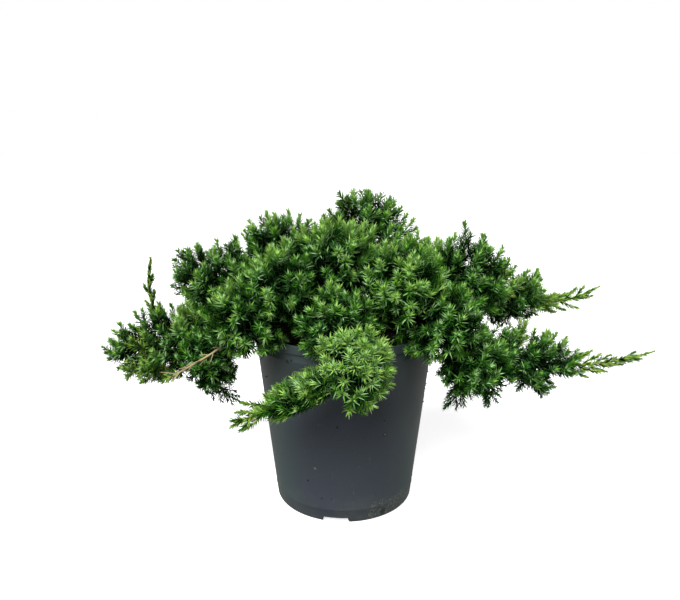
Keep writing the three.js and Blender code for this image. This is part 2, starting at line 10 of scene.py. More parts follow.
import logging
import math
from collections.abc import Callable, Sequence
from dataclasses import dataclass, field
from enum import Enum

import bmesh
import bpy
import numpy as np
from mathutils import Matrix, Vector, noise


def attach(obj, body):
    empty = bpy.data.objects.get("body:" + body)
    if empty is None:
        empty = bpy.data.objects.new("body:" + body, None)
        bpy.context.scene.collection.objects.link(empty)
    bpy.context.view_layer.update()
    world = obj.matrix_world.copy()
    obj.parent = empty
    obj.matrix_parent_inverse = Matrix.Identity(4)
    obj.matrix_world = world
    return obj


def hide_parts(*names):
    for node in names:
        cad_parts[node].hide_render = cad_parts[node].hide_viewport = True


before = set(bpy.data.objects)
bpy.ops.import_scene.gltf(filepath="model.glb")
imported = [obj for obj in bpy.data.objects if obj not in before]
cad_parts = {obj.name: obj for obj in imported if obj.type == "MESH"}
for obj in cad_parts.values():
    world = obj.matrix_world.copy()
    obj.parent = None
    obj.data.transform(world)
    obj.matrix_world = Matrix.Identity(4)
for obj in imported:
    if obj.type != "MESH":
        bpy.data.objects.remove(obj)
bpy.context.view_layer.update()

log = logging.getLogger("juniper")

MM = 0.001
UP = np.array([0.0, 0.0, 1.0])
FULL_TURN = 2 * math.pi
GOLDEN_TURN = math.pi * (3 - math.sqrt(5))
TINY = 1e-9
MERGE_DISTANCE = 1e-6
SEED_FACTOR, DRAW_FACTOR, DRAW_STEP = 2654435761, 1664525, 1013904223

Pair = tuple[float, float]
Triple = tuple[float, float, float]
Array = np.ndarray
Piece = bpy.types.Object
Socket = bpy.types.NodeSocket


# Numbers, lines and meshes


def seeded_random(seed: int) -> Callable[[], float]:
    """A repeatable random number generator, the same one as in the part's source.

    Args:
        seed: any whole number.

    Returns:
        A function that gives the next number from 0 to 1.
    """
    span = 2**32
    state = (seed * SEED_FACTOR) % span

    def draw() -> float:
        """Draws the next number.

        Returns:
            A number from 0 to 1.
        """
        nonlocal state
        state = (state * DRAW_FACTOR + DRAW_STEP) % span
        return state / span

    draw()
    draw()
    return draw


def unit(vectors: Array) -> Array:
    """Vectors along the last axis, brought to length 1."""
    return vectors / np.maximum(np.linalg.norm(vectors, axis=-1, keepdims=True), TINY)


def heading(azimuth: float, pitch: float) -> Array:
    """The unit vector at an angle round the pot's axis, rising by pitch, both in degrees."""
    turn, rise = math.radians(azimuth), math.radians(pitch)
    return np.array([math.cos(rise) * math.cos(turn), math.cos(rise) * math.sin(turn), math.sin(rise)])


def ease(low: float, high: float, value: Array) -> Array:
    """A smooth step from 0 at low to 1 at high."""
    t = np.clip((value - low) / (high - low), 0, 1)
    return t * t * (3 - 2 * t)


def arc(middle: Pair, radius: float, first: float, last: float, steps: int = 6) -> list[Pair]:
    """Points along a circle's arc from one angle to another, in degrees."""
    turns = np.radians(np.linspace(first, last, steps + 1))
    return [(middle[0] + radius * math.cos(turn), middle[1] + radius * math.sin(turn)) for turn in turns]


class Path:
    """A smooth line in millimetres, walked by shares of its length."""

    BEND_POINTS = 17
    POINTS_A_KNOT = 24
    TANGENT_STEP = 0.03
    STEEP = 0.9

    def __init__(self, points: Array) -> None:
        """Keeps the line's points and how far along it each of them lies.

        Args:
            points: close points that the line runs through, one row each.
        """
        self.points = points
        steps = np.linalg.norm(np.diff(points, axis=0), axis=1)
        self.travel = np.concatenate(([0.0], np.cumsum(steps)))

    @classmethod
    def bend(cls, start: Array, middle: Array, end: Array) -> "Path":
        """The quadratic curve from start to end that middle draws towards itself."""
        t = np.linspace(0, 1, cls.BEND_POINTS)[:, None]
        return cls((1 - t) ** 2 * start + 2 * t * (1 - t) * middle + t**2 * end)

    @classmethod
    def through(cls, knots: Sequence[Array]) -> "Path":
        """The centripetal spline through a few points.

        Args:
            knots: the points, in order.

        Returns:
            The line through them.
        """
        padded = [2 * knots[0] - knots[1], *knots, 2 * knots[-1] - knots[-2]]
        w = np.linspace(0, 1, cls.POINTS_A_KNOT, endpoint=False)[:, None]
        parts = []
        for p0, p1, p2, p3 in zip(padded, padded[1:], padded[2:], padded[3:]):
            d0, d1, d2 = (math.sqrt(np.linalg.norm(b - a)) for a, b in ((p0, p1), (p1, p2), (p2, p3)))
            m1 = d1 * ((p1 - p0) / d0 - (p2 - p0) / (d0 + d1) + (p2 - p1) / d1)
            m2 = d1 * ((p2 - p1) / d1 - (p3 - p1) / (d1 + d2) + (p3 - p2) / d2)
            square, cube = 3 * (p2 - p1) - 2 * m1 - m2, 2 * (p1 - p2) + m1 + m2
            parts.append(p1 + m1 * w + square * w**2 + cube * w**3)
        return cls(np.vstack([*parts, knots[-1]]))

    @property
    def length(self) -> float:
        """The line's length."""
        return float(self.travel[-1])

    def at(self, shares: Array | float) -> Array:
        """Points at shares of the length, one row each."""
        walked = np.atleast_1d(shares) * self.length
        return np.stack([np.interp(walked, self.travel, self.points[:, k]) for k in range(3)], axis=-1)

    def tangents(self, shares: Array | float) -> Array:
        """Unit directions at shares of the length, one row each."""
        shares, step = np.atleast_1d(shares), self.TANGENT_STEP
        return unit(self.at(np.minimum(shares + step, 1)) - self.at(np.maximum(shares - step, 0)))

    def frames(self, shares: Array) -> tuple[Array, Array, Array, Array]:
        """Points, tangents and two vectors square to them.

        Args:
            shares: shares of the length.

        Returns:
            Points, tangents, sides and lifts, one row for each share.
        """
        tangents = self.tangents(shares)
        chord = unit(self.points[-1] - self.points[0])
        guess = np.array([1.0, 0.0, 0.0]) if abs(chord[2]) > self.STEEP else UP
        sides = unit(guess - tangents * (tangents @ guess)[:, None])
        return self.at(shares), tangents, sides, np.cross(tangents, sides)


def piece_from(name: str, mesh: bpy.types.Mesh) -> Piece:
    """Puts a mesh into the scene as an object at the origin.

    Args:
        name: the object's name.
        mesh: its mesh, already in place.

    Returns:
        The object.
    """
    mesh.name = name
    piece = bpy.data.objects.new(name, mesh)
    bpy.context.scene.collection.objects.link(piece)
    return piece


def piece_from_bmesh(name: str, bm: bmesh.types.BMesh, smooth: bool = True) -> Piece:
    """Ends a bmesh and puts it into the scene.

    Args:
        name: the object's name.
        bm: the bmesh, which is freed.
        smooth: whether its faces are shaded smooth.

    Returns:
        The object.
    """
    for face in bm.faces:
        face.smooth = smooth
    mesh = bpy.data.meshes.new(name)
    bm.to_mesh(mesh)
    bm.free()
    return piece_from(name, mesh)


def piece_from_arrays(
    name: str, points: Array, triangles: Array, slots: Array, smooth: bool
) -> Piece:
    """Joins many small closed shapes into one object.

    Args:
        name: the object's name.
        points: corners in millimetres, one row each.
        triangles: three corner numbers in each row.
        slots: the material slot of each triangle.
        smooth: whether the faces are shaded smooth.

    Returns:
        The object.
    """
    mesh = bpy.data.meshes.new(name)
    mesh.vertices.add(len(points))
    mesh.vertices.foreach_set("co", (points * MM).astype(np.float32).ravel())
    mesh.loops.add(triangles.size)
    mesh.loops.foreach_set("vertex_index", triangles.astype(np.int32).ravel())
    mesh.polygons.add(len(triangles))
    mesh.polygons.foreach_set("loop_start", np.arange(0, triangles.size, 3, dtype=np.int32))
    mesh.polygons.foreach_set("material_index", slots.astype(np.int32))
    mesh.polygons.foreach_set("use_smooth", np.full(len(triangles), smooth))
    mesh.update(calc_edges=True)
    return piece_from(name, mesh)


def spun(section: Sequence[Pair], steps: int) -> bmesh.types.BMesh:
    """Spins a section about the pot's axis into a closed solid.

    Args:
        section: radius and height of each point, in millimetres.
        steps: faces round the axis.

    Returns:
        The solid, in metres.
    """
    bm = bmesh.new()
    verts = [bm.verts.new((radius * MM, 0.0, height * MM)) for radius, height in section]
    for first, second in zip(verts, verts[1:]):
        bm.edges.new((first, second))
    bmesh.ops.spin(
        bm, geom=[*bm.verts, *bm.edges], cent=(0, 0, 0), axis=(0, 0, 1),
        angle=FULL_TURN, steps=steps, use_merge=True,
    )
    bmesh.ops.remove_doubles(bm, verts=bm.verts, dist=MERGE_DISTANCE)
    bmesh.ops.recalc_face_normals(bm, faces=bm.faces)
    return bm


def with_modifiers(piece: Piece) -> None:
    """Applies a piece's modifiers to its mesh.

    Args:
        piece: the piece.
    """
    evaluated = piece.evaluated_get(bpy.context.evaluated_depsgraph_get())
    mesh = bpy.data.meshes.new_from_object(evaluated)
    piece.modifiers.clear()
    piece.data = mesh


# Finishes


def linear(red: float, green: float, blue: float) -> tuple[float, float, float, float]:
    """A colour given from 0 to 255 as it shows, in the light values that shaders take."""
    shown = (channel / 255 for channel in (red, green, blue))
    return (*(c / 12.92 if c <= 0.04045 else ((c + 0.055) / 1.055) ** 2.4 for c in shown), 1.0)


class Graph:
    """Places and links the nodes of one tree."""

    def __init__(self, tree: bpy.types.NodeTree) -> None:
        """Takes the tree that the nodes go into."""
        self.tree = tree

    def node(self, kind: str, **values: object) -> bpy.types.Node:
        """Places a node.

        Args:
            kind: the node's type, without its ShaderNode part.
            values: settings of the node.

        Returns:
            The node.
        """
        placed = self.tree.nodes.new(kind if kind.startswith("Node") else f"ShaderNode{kind}")
        for key, value in values.items():
            setattr(placed, key, value)
        return placed

    def feed(self, target: Socket, source: object) -> None:
        """Links a socket to an input, or sets the input to a plain value.

        Args:
            target: the input.
            source: the socket or value, or None to leave the input as it is.
        """
        if isinstance(source, Socket):
            self.tree.links.new(source, target)
        elif source is not None:
            target.default_value = source

    def fed(self, kind: str, sources: dict[str | int, object], **values: object) -> bpy.types.Node:
        """Places a node and feeds its inputs.

        Args:
            kind: the node's type.
            sources: values or sockets by the input's name or number.
            values: settings of the node.

        Returns:
            The node.
        """
        placed = self.node(kind, **values)
        for key, source in sources.items():
            self.feed(placed.inputs[key], source)
        return placed

    def math(self, operation: str, first: object, second: object = None) -> Socket:
        """The result of a Math node on sockets or numbers."""
        return self.fed("Math", {0: first, 1: second}, operation=operation).outputs[0]

    def plus(self, first: object, second: object) -> Socket:
        """The sum of two sockets or numbers."""
        return self.math("ADD", first, second)

    def times(self, first: object, second: object) -> Socket:
        """The product of two sockets or numbers."""
        return self.math("MULTIPLY", first, second)

    def ramp(self, value: object, low: float, high: float) -> Socket:
        """A smooth mask that is 0 where value is low and 1 where it is high."""
        return self.fed("MapRange", {0: value, 1: low, 2: high}, interpolation_type="SMOOTHSTEP").outputs[0]

    def mix(self, mask: object, first: object, second: object) -> Socket:
        """One colour laid over another by a mask."""
        return self.fed("Mix", {"Factor": mask, 6: first, 7: second}, data_type="RGBA").outputs[2]

    def noise(self, vector: object, scale: object, detail: float, rough: float = 0.55) -> Socket:
        """The value of a Noise Texture."""
        sources = {"Vector": vector, "Scale": scale, "Detail": detail, "Roughness": rough}
        return self.fed("TexNoise", sources).outputs[0]

    def stretched(self, vector: object, scale: Triple) -> Socket:
        """A place with its axes scaled apart."""
        return self.fed("Mapping", {"Vector": vector, "Scale": scale}).outputs[0]

    def group(self, effect: "Effect", **inputs: object) -> dict[str, Socket]:
        """Places a shared effect with its own values.

        Args:
            effect: which effect.
            inputs: values or sockets by input name, with _ for a space.

        Returns:
            The effect's outputs by name.
        """
        sources = {key.replace("_", " "): value for key, value in inputs.items()}
        placed = self.fed("Group", sources, node_tree=bpy.data.node_groups[effect.value])
        return {socket.name: socket for socket in placed.outputs}

    def surface(self, shader: bpy.types.Node, colour: object, height: object, relief: Pair) -> None:
        """Gives a shader its colour and relief.

        Args:
            shader: the material's shader.
            colour: the socket of its colour.
            height: the socket of its relief.
            relief: the relief's strength and its depth in metres.
        """
        self.feed(shader.inputs["Base Color"], colour)
        bump = self.fed("Bump", {"Strength": relief[0], "Distance": relief[1], "Height": height})
        self.feed(shader.inputs["Normal"], bump.outputs[0])


class Effect(Enum):
    """The effects that more than one material uses, each built once as a node group."""

    GRAIN = "surface_grain"
    DUST = "settled_dust"
    SMUDGE = "local_smudge"

    def sheet(self, inputs: Sequence[str], outputs: Sequence[str]) -> tuple[Graph, object, object]:
        """Starts the effect's node group.

        Args:
            inputs: the names of its inputs, all of them numbers but Vector and Centre.
            outputs: the names of its outputs, all of them numbers.

        Returns:
            The group's graph, the sockets that it is given and the sockets that it gives.
        """
        tree = bpy.data.node_groups.new(self.value, "ShaderNodeTree")
        for side, labels in (("INPUT", inputs), ("OUTPUT", outputs)):
            for label in labels:
                kind = "Vector" if label in ("Vector", "Centre") else "Float"
                tree.interface.new_socket(label, in_out=side, socket_type=f"NodeSocket{kind}")
        graph = Graph(tree)
        return graph, graph.node("NodeGroupInput").outputs, graph.node("NodeGroupOutput").inputs

    @classmethod
    def build_all(cls) -> None:
        """Builds every effect's group."""
        graph, given, out = cls.GRAIN.sheet(("Vector", "Scale", "Contrast"), ("Mask", "Height"))
        coarse = graph.noise(given["Vector"], given["Scale"], detail=6.0, rough=0.62)
        spread = graph.times(graph.math("SUBTRACT", coarse, 0.5), given["Contrast"])
        graph.feed(out["Mask"], graph.fed("Clamp", {0: graph.plus(spread, 0.5)}).outputs[0])
        graph.feed(out["Height"], coarse)

        graph, given, out = cls.DUST.sheet(("Vector", "Clear above", "Amount"), ("Mask",))
        height = graph.fed("SeparateXYZ", {0: given["Vector"]}).outputs[2]
        low = graph.math("SUBTRACT", 1.0, graph.math("DIVIDE", height, given["Clear above"]))
        patches = graph.noise(given["Vector"], scale=38.0, detail=7.0, rough=0.7)
        patches = graph.ramp(patches, low=0.38, high=0.72)
        dusty = graph.times(graph.math("MAXIMUM", low, 0.0), patches)
        graph.feed(out["Mask"], graph.times(dusty, given["Amount"]))

        graph, given, out = cls.SMUDGE.sheet(("Vector", "Centre", "Radius", "Amount"), ("Mask",))
        apart = graph.fed("VectorMath", {0: given["Vector"], 1: given["Centre"]}, operation="DISTANCE")
        share = graph.math("DIVIDE", apart.outputs["Value"], given["Radius"])
        ragged = graph.times(graph.noise(given["Vector"], scale=120.0, detail=6.0, rough=0.7), 1.3)
        inside = graph.ramp(graph.math("SUBTRACT", 1.65, graph.plus(share, ragged)), low=0.0, high=0.5)
        graph.feed(out["Mask"], graph.times(inside, given["Amount"]))


@dataclass(frozen=True)
class Finish:
    """A finish on the shader's own sockets, which its kinds add patterns to."""

    name: str
    colour: Triple
    roughness: float = 0.55
    specular: float = 0.4

    def material(self) -> bpy.types.Material:
        """The material of this finish, made the first time that it is asked for.

        Returns:
            The material.
        """
        if self.name in bpy.data.materials:
            return bpy.data.materials[self.name]
        made = bpy.data.materials.new(self.name)
        made.use_nodes = True
        made.diffuse_color = linear(*self.colour)
        shader = made.node_tree.nodes["Principled BSDF"]
        shader.inputs["Base Color"].default_value = linear(*self.colour)
        shader.inputs["Roughness"].default_value = self.roughness
        shader.inputs["Specular IOR Level"].default_value = self.specular
        self.pattern(Graph(made.node_tree), shader)
        return made

    def pattern(self, graph: Graph, shader: bpy.types.Node) -> None:
        """Adds what changes over the surface. A plain finish adds nothing.

        Args:
            graph: the material's nodes.
            shader: its shader.
        """


@dataclass(frozen=True)
class Mark:
    """A spot on the pot, in metres: how strong it is, its colour and whether it is flaky."""

    place: Triple
    radius: float
    amount: float
    colour: Triple
    flaky: bool = False


DUST, DARK_MARK, MOSS = (112, 116, 96), (22, 26, 24), (20, 40, 14)
POT_MARKS = (
    Mark((0.028, -0.0583, 0.010), 0.011, 1.0, DUST, True),
    Mark((0.041, -0.05, 0.009), 0.011, 0.85, DUST, True),
    Mark((0.05, -0.0412, 0.011), 0.011, 0.7, DUST, True),
    Mark((0.034, -0.055, 0.006), 0.0042, 1.0, MOSS),
    # A broad soft darker patch at the pot's right edge, under the rim.
    Mark((0.076, -0.022, 0.118), 0.012, 0.5, DARK_MARK),
    Mark((-0.0478, -0.0645, 0.1495), 0.0021, 1.0, DARK_MARK),
    Mark((-0.0441, -0.067, 0.1512), 0.0014, 1.0, DARK_MARK),
    Mark((0.0345, -0.0645, 0.0845), 0.0022, 1.0, DARK_MARK),
    Mark((0.0345, -0.0645, 0.0845), 0.0011, 1.0, DUST),
    Mark((-0.0258, -0.0653, 0.053), 0.0018, 0.8, DUST),
    Mark((-0.0116, -0.0668, 0.024), 0.0022, 1.0, DARK_MARK),
    Mark((0.064, -0.0449, 0.106), 0.002, 1.0, DARK_MARK),
)


@dataclass(frozen=True)
class PotFinish(Finish):
    """Dark grey moulded plastic with a faint mottled haze, a painted greenish reflection at both flanks and
    near the top, scuffs, a dusty foot and a few marks, in metres.
    """

    haze_and_reflection: Triple = (60, 79, 70)
    haze_and_reflection_amount: float = 0.6
    reflecting_flank: Pair = (0.03, 0.074)
    reflecting_top: Pair = (0.115, 0.16)
    top_reflection: float = 0.45
    mottled_haze: float = 0.35
    mottled_gloss: float = 0.16
    mottled_relief: float = 1.5
    dusty_gloss: float = 0.3
    scratch_stretch: Triple = (1.0, 1.0, 0.18)
    clear_above: float = 0.03
    wear: float = 0.3
    relief: Pair = (0.18, 0.0006)

    def pattern(self, graph: Graph, shader: bpy.types.Node) -> None:
        """Adds haze with a painted reflection at the flanks and the top, scuffs, dust, marks and the fine
        moulded texture.

        Args:
            graph: the material's nodes.
            shader: its shader.
        """
        place = graph.node("TexCoord").outputs["Object"]
        mottle = graph.group(Effect.GRAIN, Vector=place, Scale=16.0, Contrast=1.7)
        axes = graph.fed("SeparateXYZ", {0: place}).outputs
        # Painted reflection: the colour turns lighter and greener towards both flanks and near the top; the
        # mottle adds a real uneven haze.
        flank_reflection = graph.ramp(graph.math("ABSOLUTE", axes[0]), *self.reflecting_flank)
        upper = graph.times(graph.ramp(axes[2], *self.reflecting_top), self.top_reflection)
        top_reflection_and_mottle = graph.plus(upper, graph.times(mottle["Mask"], self.mottled_haze))
        haze_and_reflection_mask = graph.times(graph.plus(flank_reflection, top_reflection_and_mottle), self.haze_and_reflection_amount)
        colour = graph.mix(haze_and_reflection_mask, linear(*self.colour), linear(*self.haze_and_reflection))
        scratches = graph.noise(graph.stretched(place, self.scratch_stretch), scale=210.0, detail=3.0)
        scratches = graph.ramp(scratches, low=0.66, high=0.74)
        specks = graph.ramp(graph.noise(place, scale=330.0, detail=2.0), low=0.71, high=0.76)
        worn = graph.times(graph.math("MAXIMUM", scratches, specks), self.wear)
        settled = graph.group(Effect.DUST, Vector=place, Clear_above=self.clear_above, Amount=self.wear)
        dust = settled["Mask"]
        for mask in (worn, dust):
            colour = graph.mix(mask, colour, linear(*DUST))
        flakes = graph.ramp(graph.noise(place, scale=520.0, detail=4.0, rough=0.6), low=0.52, high=0.6)
        for mark in POT_MARKS:
            mask = graph.group(
                Effect.SMUDGE, Vector=place, Centre=mark.place, Radius=mark.radius, Amount=mark.amount
            )["Mask"]
            if mark.flaky:
                mask = graph.times(mask, flakes)
            colour = graph.mix(mask, colour, linear(*mark.colour))
        gloss = graph.times(mottle["Mask"], self.mottled_gloss)
        rough = graph.plus(self.roughness - self.mottled_gloss / 2, gloss)
        graph.feed(shader.inputs["Roughness"], graph.plus(rough, graph.times(dust, self.dusty_gloss)))
        swell = graph.times(mottle["Height"], self.mottled_relief)
        fine = graph.plus(graph.noise(place, scale=900.0, detail=2.0), swell)
        graph.surface(shader, colour, fine, self.relief)


@dataclass(frozen=True)
class BarkFinish(Finish):
    """Thin bark in long flaking strips, pale over red brown."""

    strip: Triple = (150, 122, 92)
    depth: Triple = (44, 28, 20)
    strip_scale: Triple = (5.0, 70.0, 1.0)
    relief: Pair = (0.7, 0.0008)

    def pattern(self, graph: Graph, shader: bpy.types.Node) -> None:
        """Adds the strips along the limb, the dark between them, which is the bark's own darker brown and
        painted shade in the furrows, and their relief.

        Args:
            graph: the material's nodes.
            shader: its shader.
        """
        source = graph.node("TexCoord").outputs
        along = graph.stretched(source["UV"], self.strip_scale)
        strips = graph.group(Effect.GRAIN, Vector=along, Scale=1.6, Contrast=2.6)
        patches = graph.group(Effect.GRAIN, Vector=source["Object"], Scale=110.0, Contrast=2.0)
        # The dark brown falls where the relief is lowest: the bark's own darker colour and painted shade in
        # the furrows.
        colour = graph.mix(strips["Mask"], linear(*self.depth), linear(*self.colour))
        pale = graph.times(patches["Mask"], graph.ramp(strips["Height"], low=0.48, high=0.66))
        graph.surface(shader, graph.mix(pale, colour, linear(*self.strip)), strips["Height"], self.relief)


@dataclass(frozen=True)
class PeatFinish(Finish):
    """Damp dark peat with lighter fibres."""

    fibre: Triple = (60, 44, 30)
    fibrous: float = 0.55
    damp_gloss: float = 0.25
    relief: Pair = (0.9, 0.0015)

    def pattern(self, graph: Graph, shader: bpy.types.Node) -> None:
        """Adds fibres, damp patches and a crumbly relief.

        Args:
            graph: the material's nodes.
            shader: its shader.
        """
        place = graph.node("TexCoord").outputs["Object"]
        crumbs = graph.group(Effect.GRAIN, Vector=place, Scale=260.0, Contrast=2.4)
        damp = graph.group(Effect.GRAIN, Vector=place, Scale=34.0, Contrast=2.0)
        fibres = graph.times(crumbs["Mask"], self.fibrous)
        colour = graph.mix(fibres, linear(*self.colour), linear(*self.fibre))
        gloss = graph.times(damp["Mask"], self.damp_gloss)
        graph.feed(shader.inputs["Roughness"], graph.math("SUBTRACT", 1.0, gloss))
        graph.surface(shader, colour, crumbs["Height"], self.relief)


POT_PLASTIC = PotFinish("pot_plastic", (55, 60, 70), roughness=0.46, specular=0.4)
BARK = BarkFinish("flaking_bark", (84, 63, 47), roughness=0.85, specular=0.25)
PEAT = PeatFinish("damp_peat", (26, 19, 14), roughness=0.9, specular=0.3)

# Needle colours from the dark old ones, darkened further as painted shade, to the newest tips, and what lies
# outside that row
NEEDLE_ROW = (
    Finish("needle_deepest", (5, 27, 4), roughness=0.6, specular=0.04),
    Finish("needle_deep", (17, 59, 11), roughness=0.55, specular=0.08),
    Finish("needle_mid", (40, 98, 21), roughness=0.5, specular=0.15),
    Finish("needle_bright", (72, 130, 32), roughness=0.46, specular=0.22),
    Finish("needle_fresh", (112, 165, 54), roughness=0.45, specular=0.25),
    Finish("needle_tip", (158, 200, 96), roughness=0.45, specular=0.25),
)
NEEDLE_LIME = Finish("needle_lime", (152, 188, 72), roughness=0.45, specular=0.25)
# The pale band in a painted shaded copy and a lit copy
NEEDLE_BAND_LOW = Finish("needle_band_shaded", (72, 120, 62), roughness=0.6, specular=0.12)
NEEDLE_BAND_HIGH = Finish("needle_band_pale", (150, 194, 126), roughness=0.6, specular=0.2)
NEEDLE_DRY = Finish("needle_dry", (138, 108, 66), roughness=0.7, specular=0.2)
NEEDLE_FINISHES = (*NEEDLE_ROW, NEEDLE_LIME, NEEDLE_BAND_LOW, NEEDLE_BAND_HIGH, NEEDLE_DRY)
LIME, BAND_LOW, BAND_HIGH, DRY = range(len(NEEDLE_ROW), len(NEEDLE_FINISHES))

TWIG_FINISHES = (
    Finish("twig_woody", (54, 43, 31), roughness=0.8, specular=0.25),
    Finish("twig_green", (62, 92, 34), roughness=0.6, specular=0.3),
    Finish("twig_tan", (172, 158, 118), roughness=0.8, specular=0.25),
)
WOODY, GREEN, TAN = range(len(TWIG_FINISHES))


# The pot and its soil


@dataclass
class NurseryPot:
    """The tapering grey pot with its lip, foot, faint rings and drainage notches, in millimetres."""

    rim_radius: float = 82.5
    height: float = 165.0
    base_radius: float = 63.5
    wall: float = 1.6
    lip_height: float = 8.0
    lip_proud: float = 0.5
    lip_slope: float = 0.4
    lip_seam: float = 0.5
    rim_round: float = 0.9
    rim_inside: float = 2.0
    rings: Pair = (13.0, 150.0)
    ring_proud: float = 0.22
    ring_half: float = 0.8
    ring_crest: float = 0.3
    foot_round: float = 3.5
    floor: float = 7.0
    notches: int = 3
    notch_turn: float = -97.0
    notch_width: float = 25.0
    notch_top_width: float = 21.0
    notch_depth: float = 5.0
    notch_below: float = 1.0
    pad_radius: float = 36.0
    turns: int = 192
    sharp_edge: float = 34.0

    def radius_at(self, height: float | Array) -> float | Array:
        """Outer radius of the plain wall at a height."""
        return self.base_radius + (self.rim_radius - self.lip_proud - self.base_radius) * height / self.height

    def outline(self) -> list[Pair]:
        """The pot's section, from the middle of its underside round to the middle of its floor.

        Returns:
            Radius and height of each point.
        """
        foot, half, crest = self.foot_round, self.ring_half, self.ring_crest
        lip_foot = self.height - self.lip_height
        section = [(0.0, 0.0), (self.pad_radius, 0.0)]
        section += arc((self.radius_at(foot) - foot, foot), foot, -90, 0)
        for ring in self.rings:
            for rise, proud in ((-half, 0), (-crest, self.ring_proud), (crest, self.ring_proud), (half, 0)):
                section.append((self.radius_at(ring + rise) + proud, ring + rise))
        section += [(self.radius_at(height), height) for height in (lip_foot - self.lip_seam, lip_foot)]
        lip_middle = (self.rim_radius - self.lip_proud, lip_foot + self.lip_slope + self.lip_proud)
        section += arc(lip_middle, self.lip_proud, -90, 0, steps=4)
        rim_middle = (self.rim_radius - self.rim_round, self.height - self.rim_round)
        section += arc(rim_middle, self.rim_round, 0, 180)
        inner_top, inner_foot = (self.radius_at(height) - self.wall for height in (self.height, self.floor))
        inner_edge = self.height - self.rim_inside
        return [*section, (inner_top, inner_edge), (inner_foot, self.floor), (0.0, self.floor)]

    def cutter(self) -> Piece:
        """The three notch slots as one set of wedges.

        Returns:
            A piece to cut with, which is removed afterwards.
        """
        bm = bmesh.new()
        for notch in range(self.notches):
            made = bmesh.ops.create_cube(bm, size=1.0)["verts"]
            for vert in made:
                share = vert.co.z + 0.5
                across = self.notch_width + (self.notch_top_width - self.notch_width) * share
                vert.co = Vector((
                    self.pad_radius + (vert.co.x + 0.5) * self.base_radius,
                    vert.co.y * across,
                    share * (self.notch_depth + self.notch_below) - self.notch_below,
                ))
            turn = Matrix.Rotation(math.radians(self.notch_turn) + notch * FULL_TURN / self.notches, 3, "Z")
            bmesh.ops.rotate(bm, verts=made, cent=(0, 0, 0), matrix=turn)
        bmesh.ops.scale(bm, vec=(MM, MM, MM), verts=bm.verts)
        return piece_from_bmesh("notch_cutter", bm)

    def build(self) -> Piece:
        """Spins the section, cuts the notches and softens the edges.

        Returns:
            The pot.
        """
        pot = piece_from_bmesh("nursery_pot", spun(self.outline(), self.turns))
        cutter = self.cutter()
        cut = pot.modifiers.new("notches", "BOOLEAN")
        cut.object = cutter
        cut.operation = "DIFFERENCE"
        cut.solver = "EXACT"
        with_modifiers(pot)
        bpy.data.objects.remove(cutter)
        pot.data.set_sharp_from_angle(angle=math.radians(self.sharp_edge))
        return pot

    def dress(self, pot: Piece) -> None:
        """Gives the pot its plastic and its place in the part.

        Args:
            pot: the pot.
        """
        pot.data.materials.clear()
        pot.data.materials.append(POT_PLASTIC.material())
        settle(pot, ("pot",))


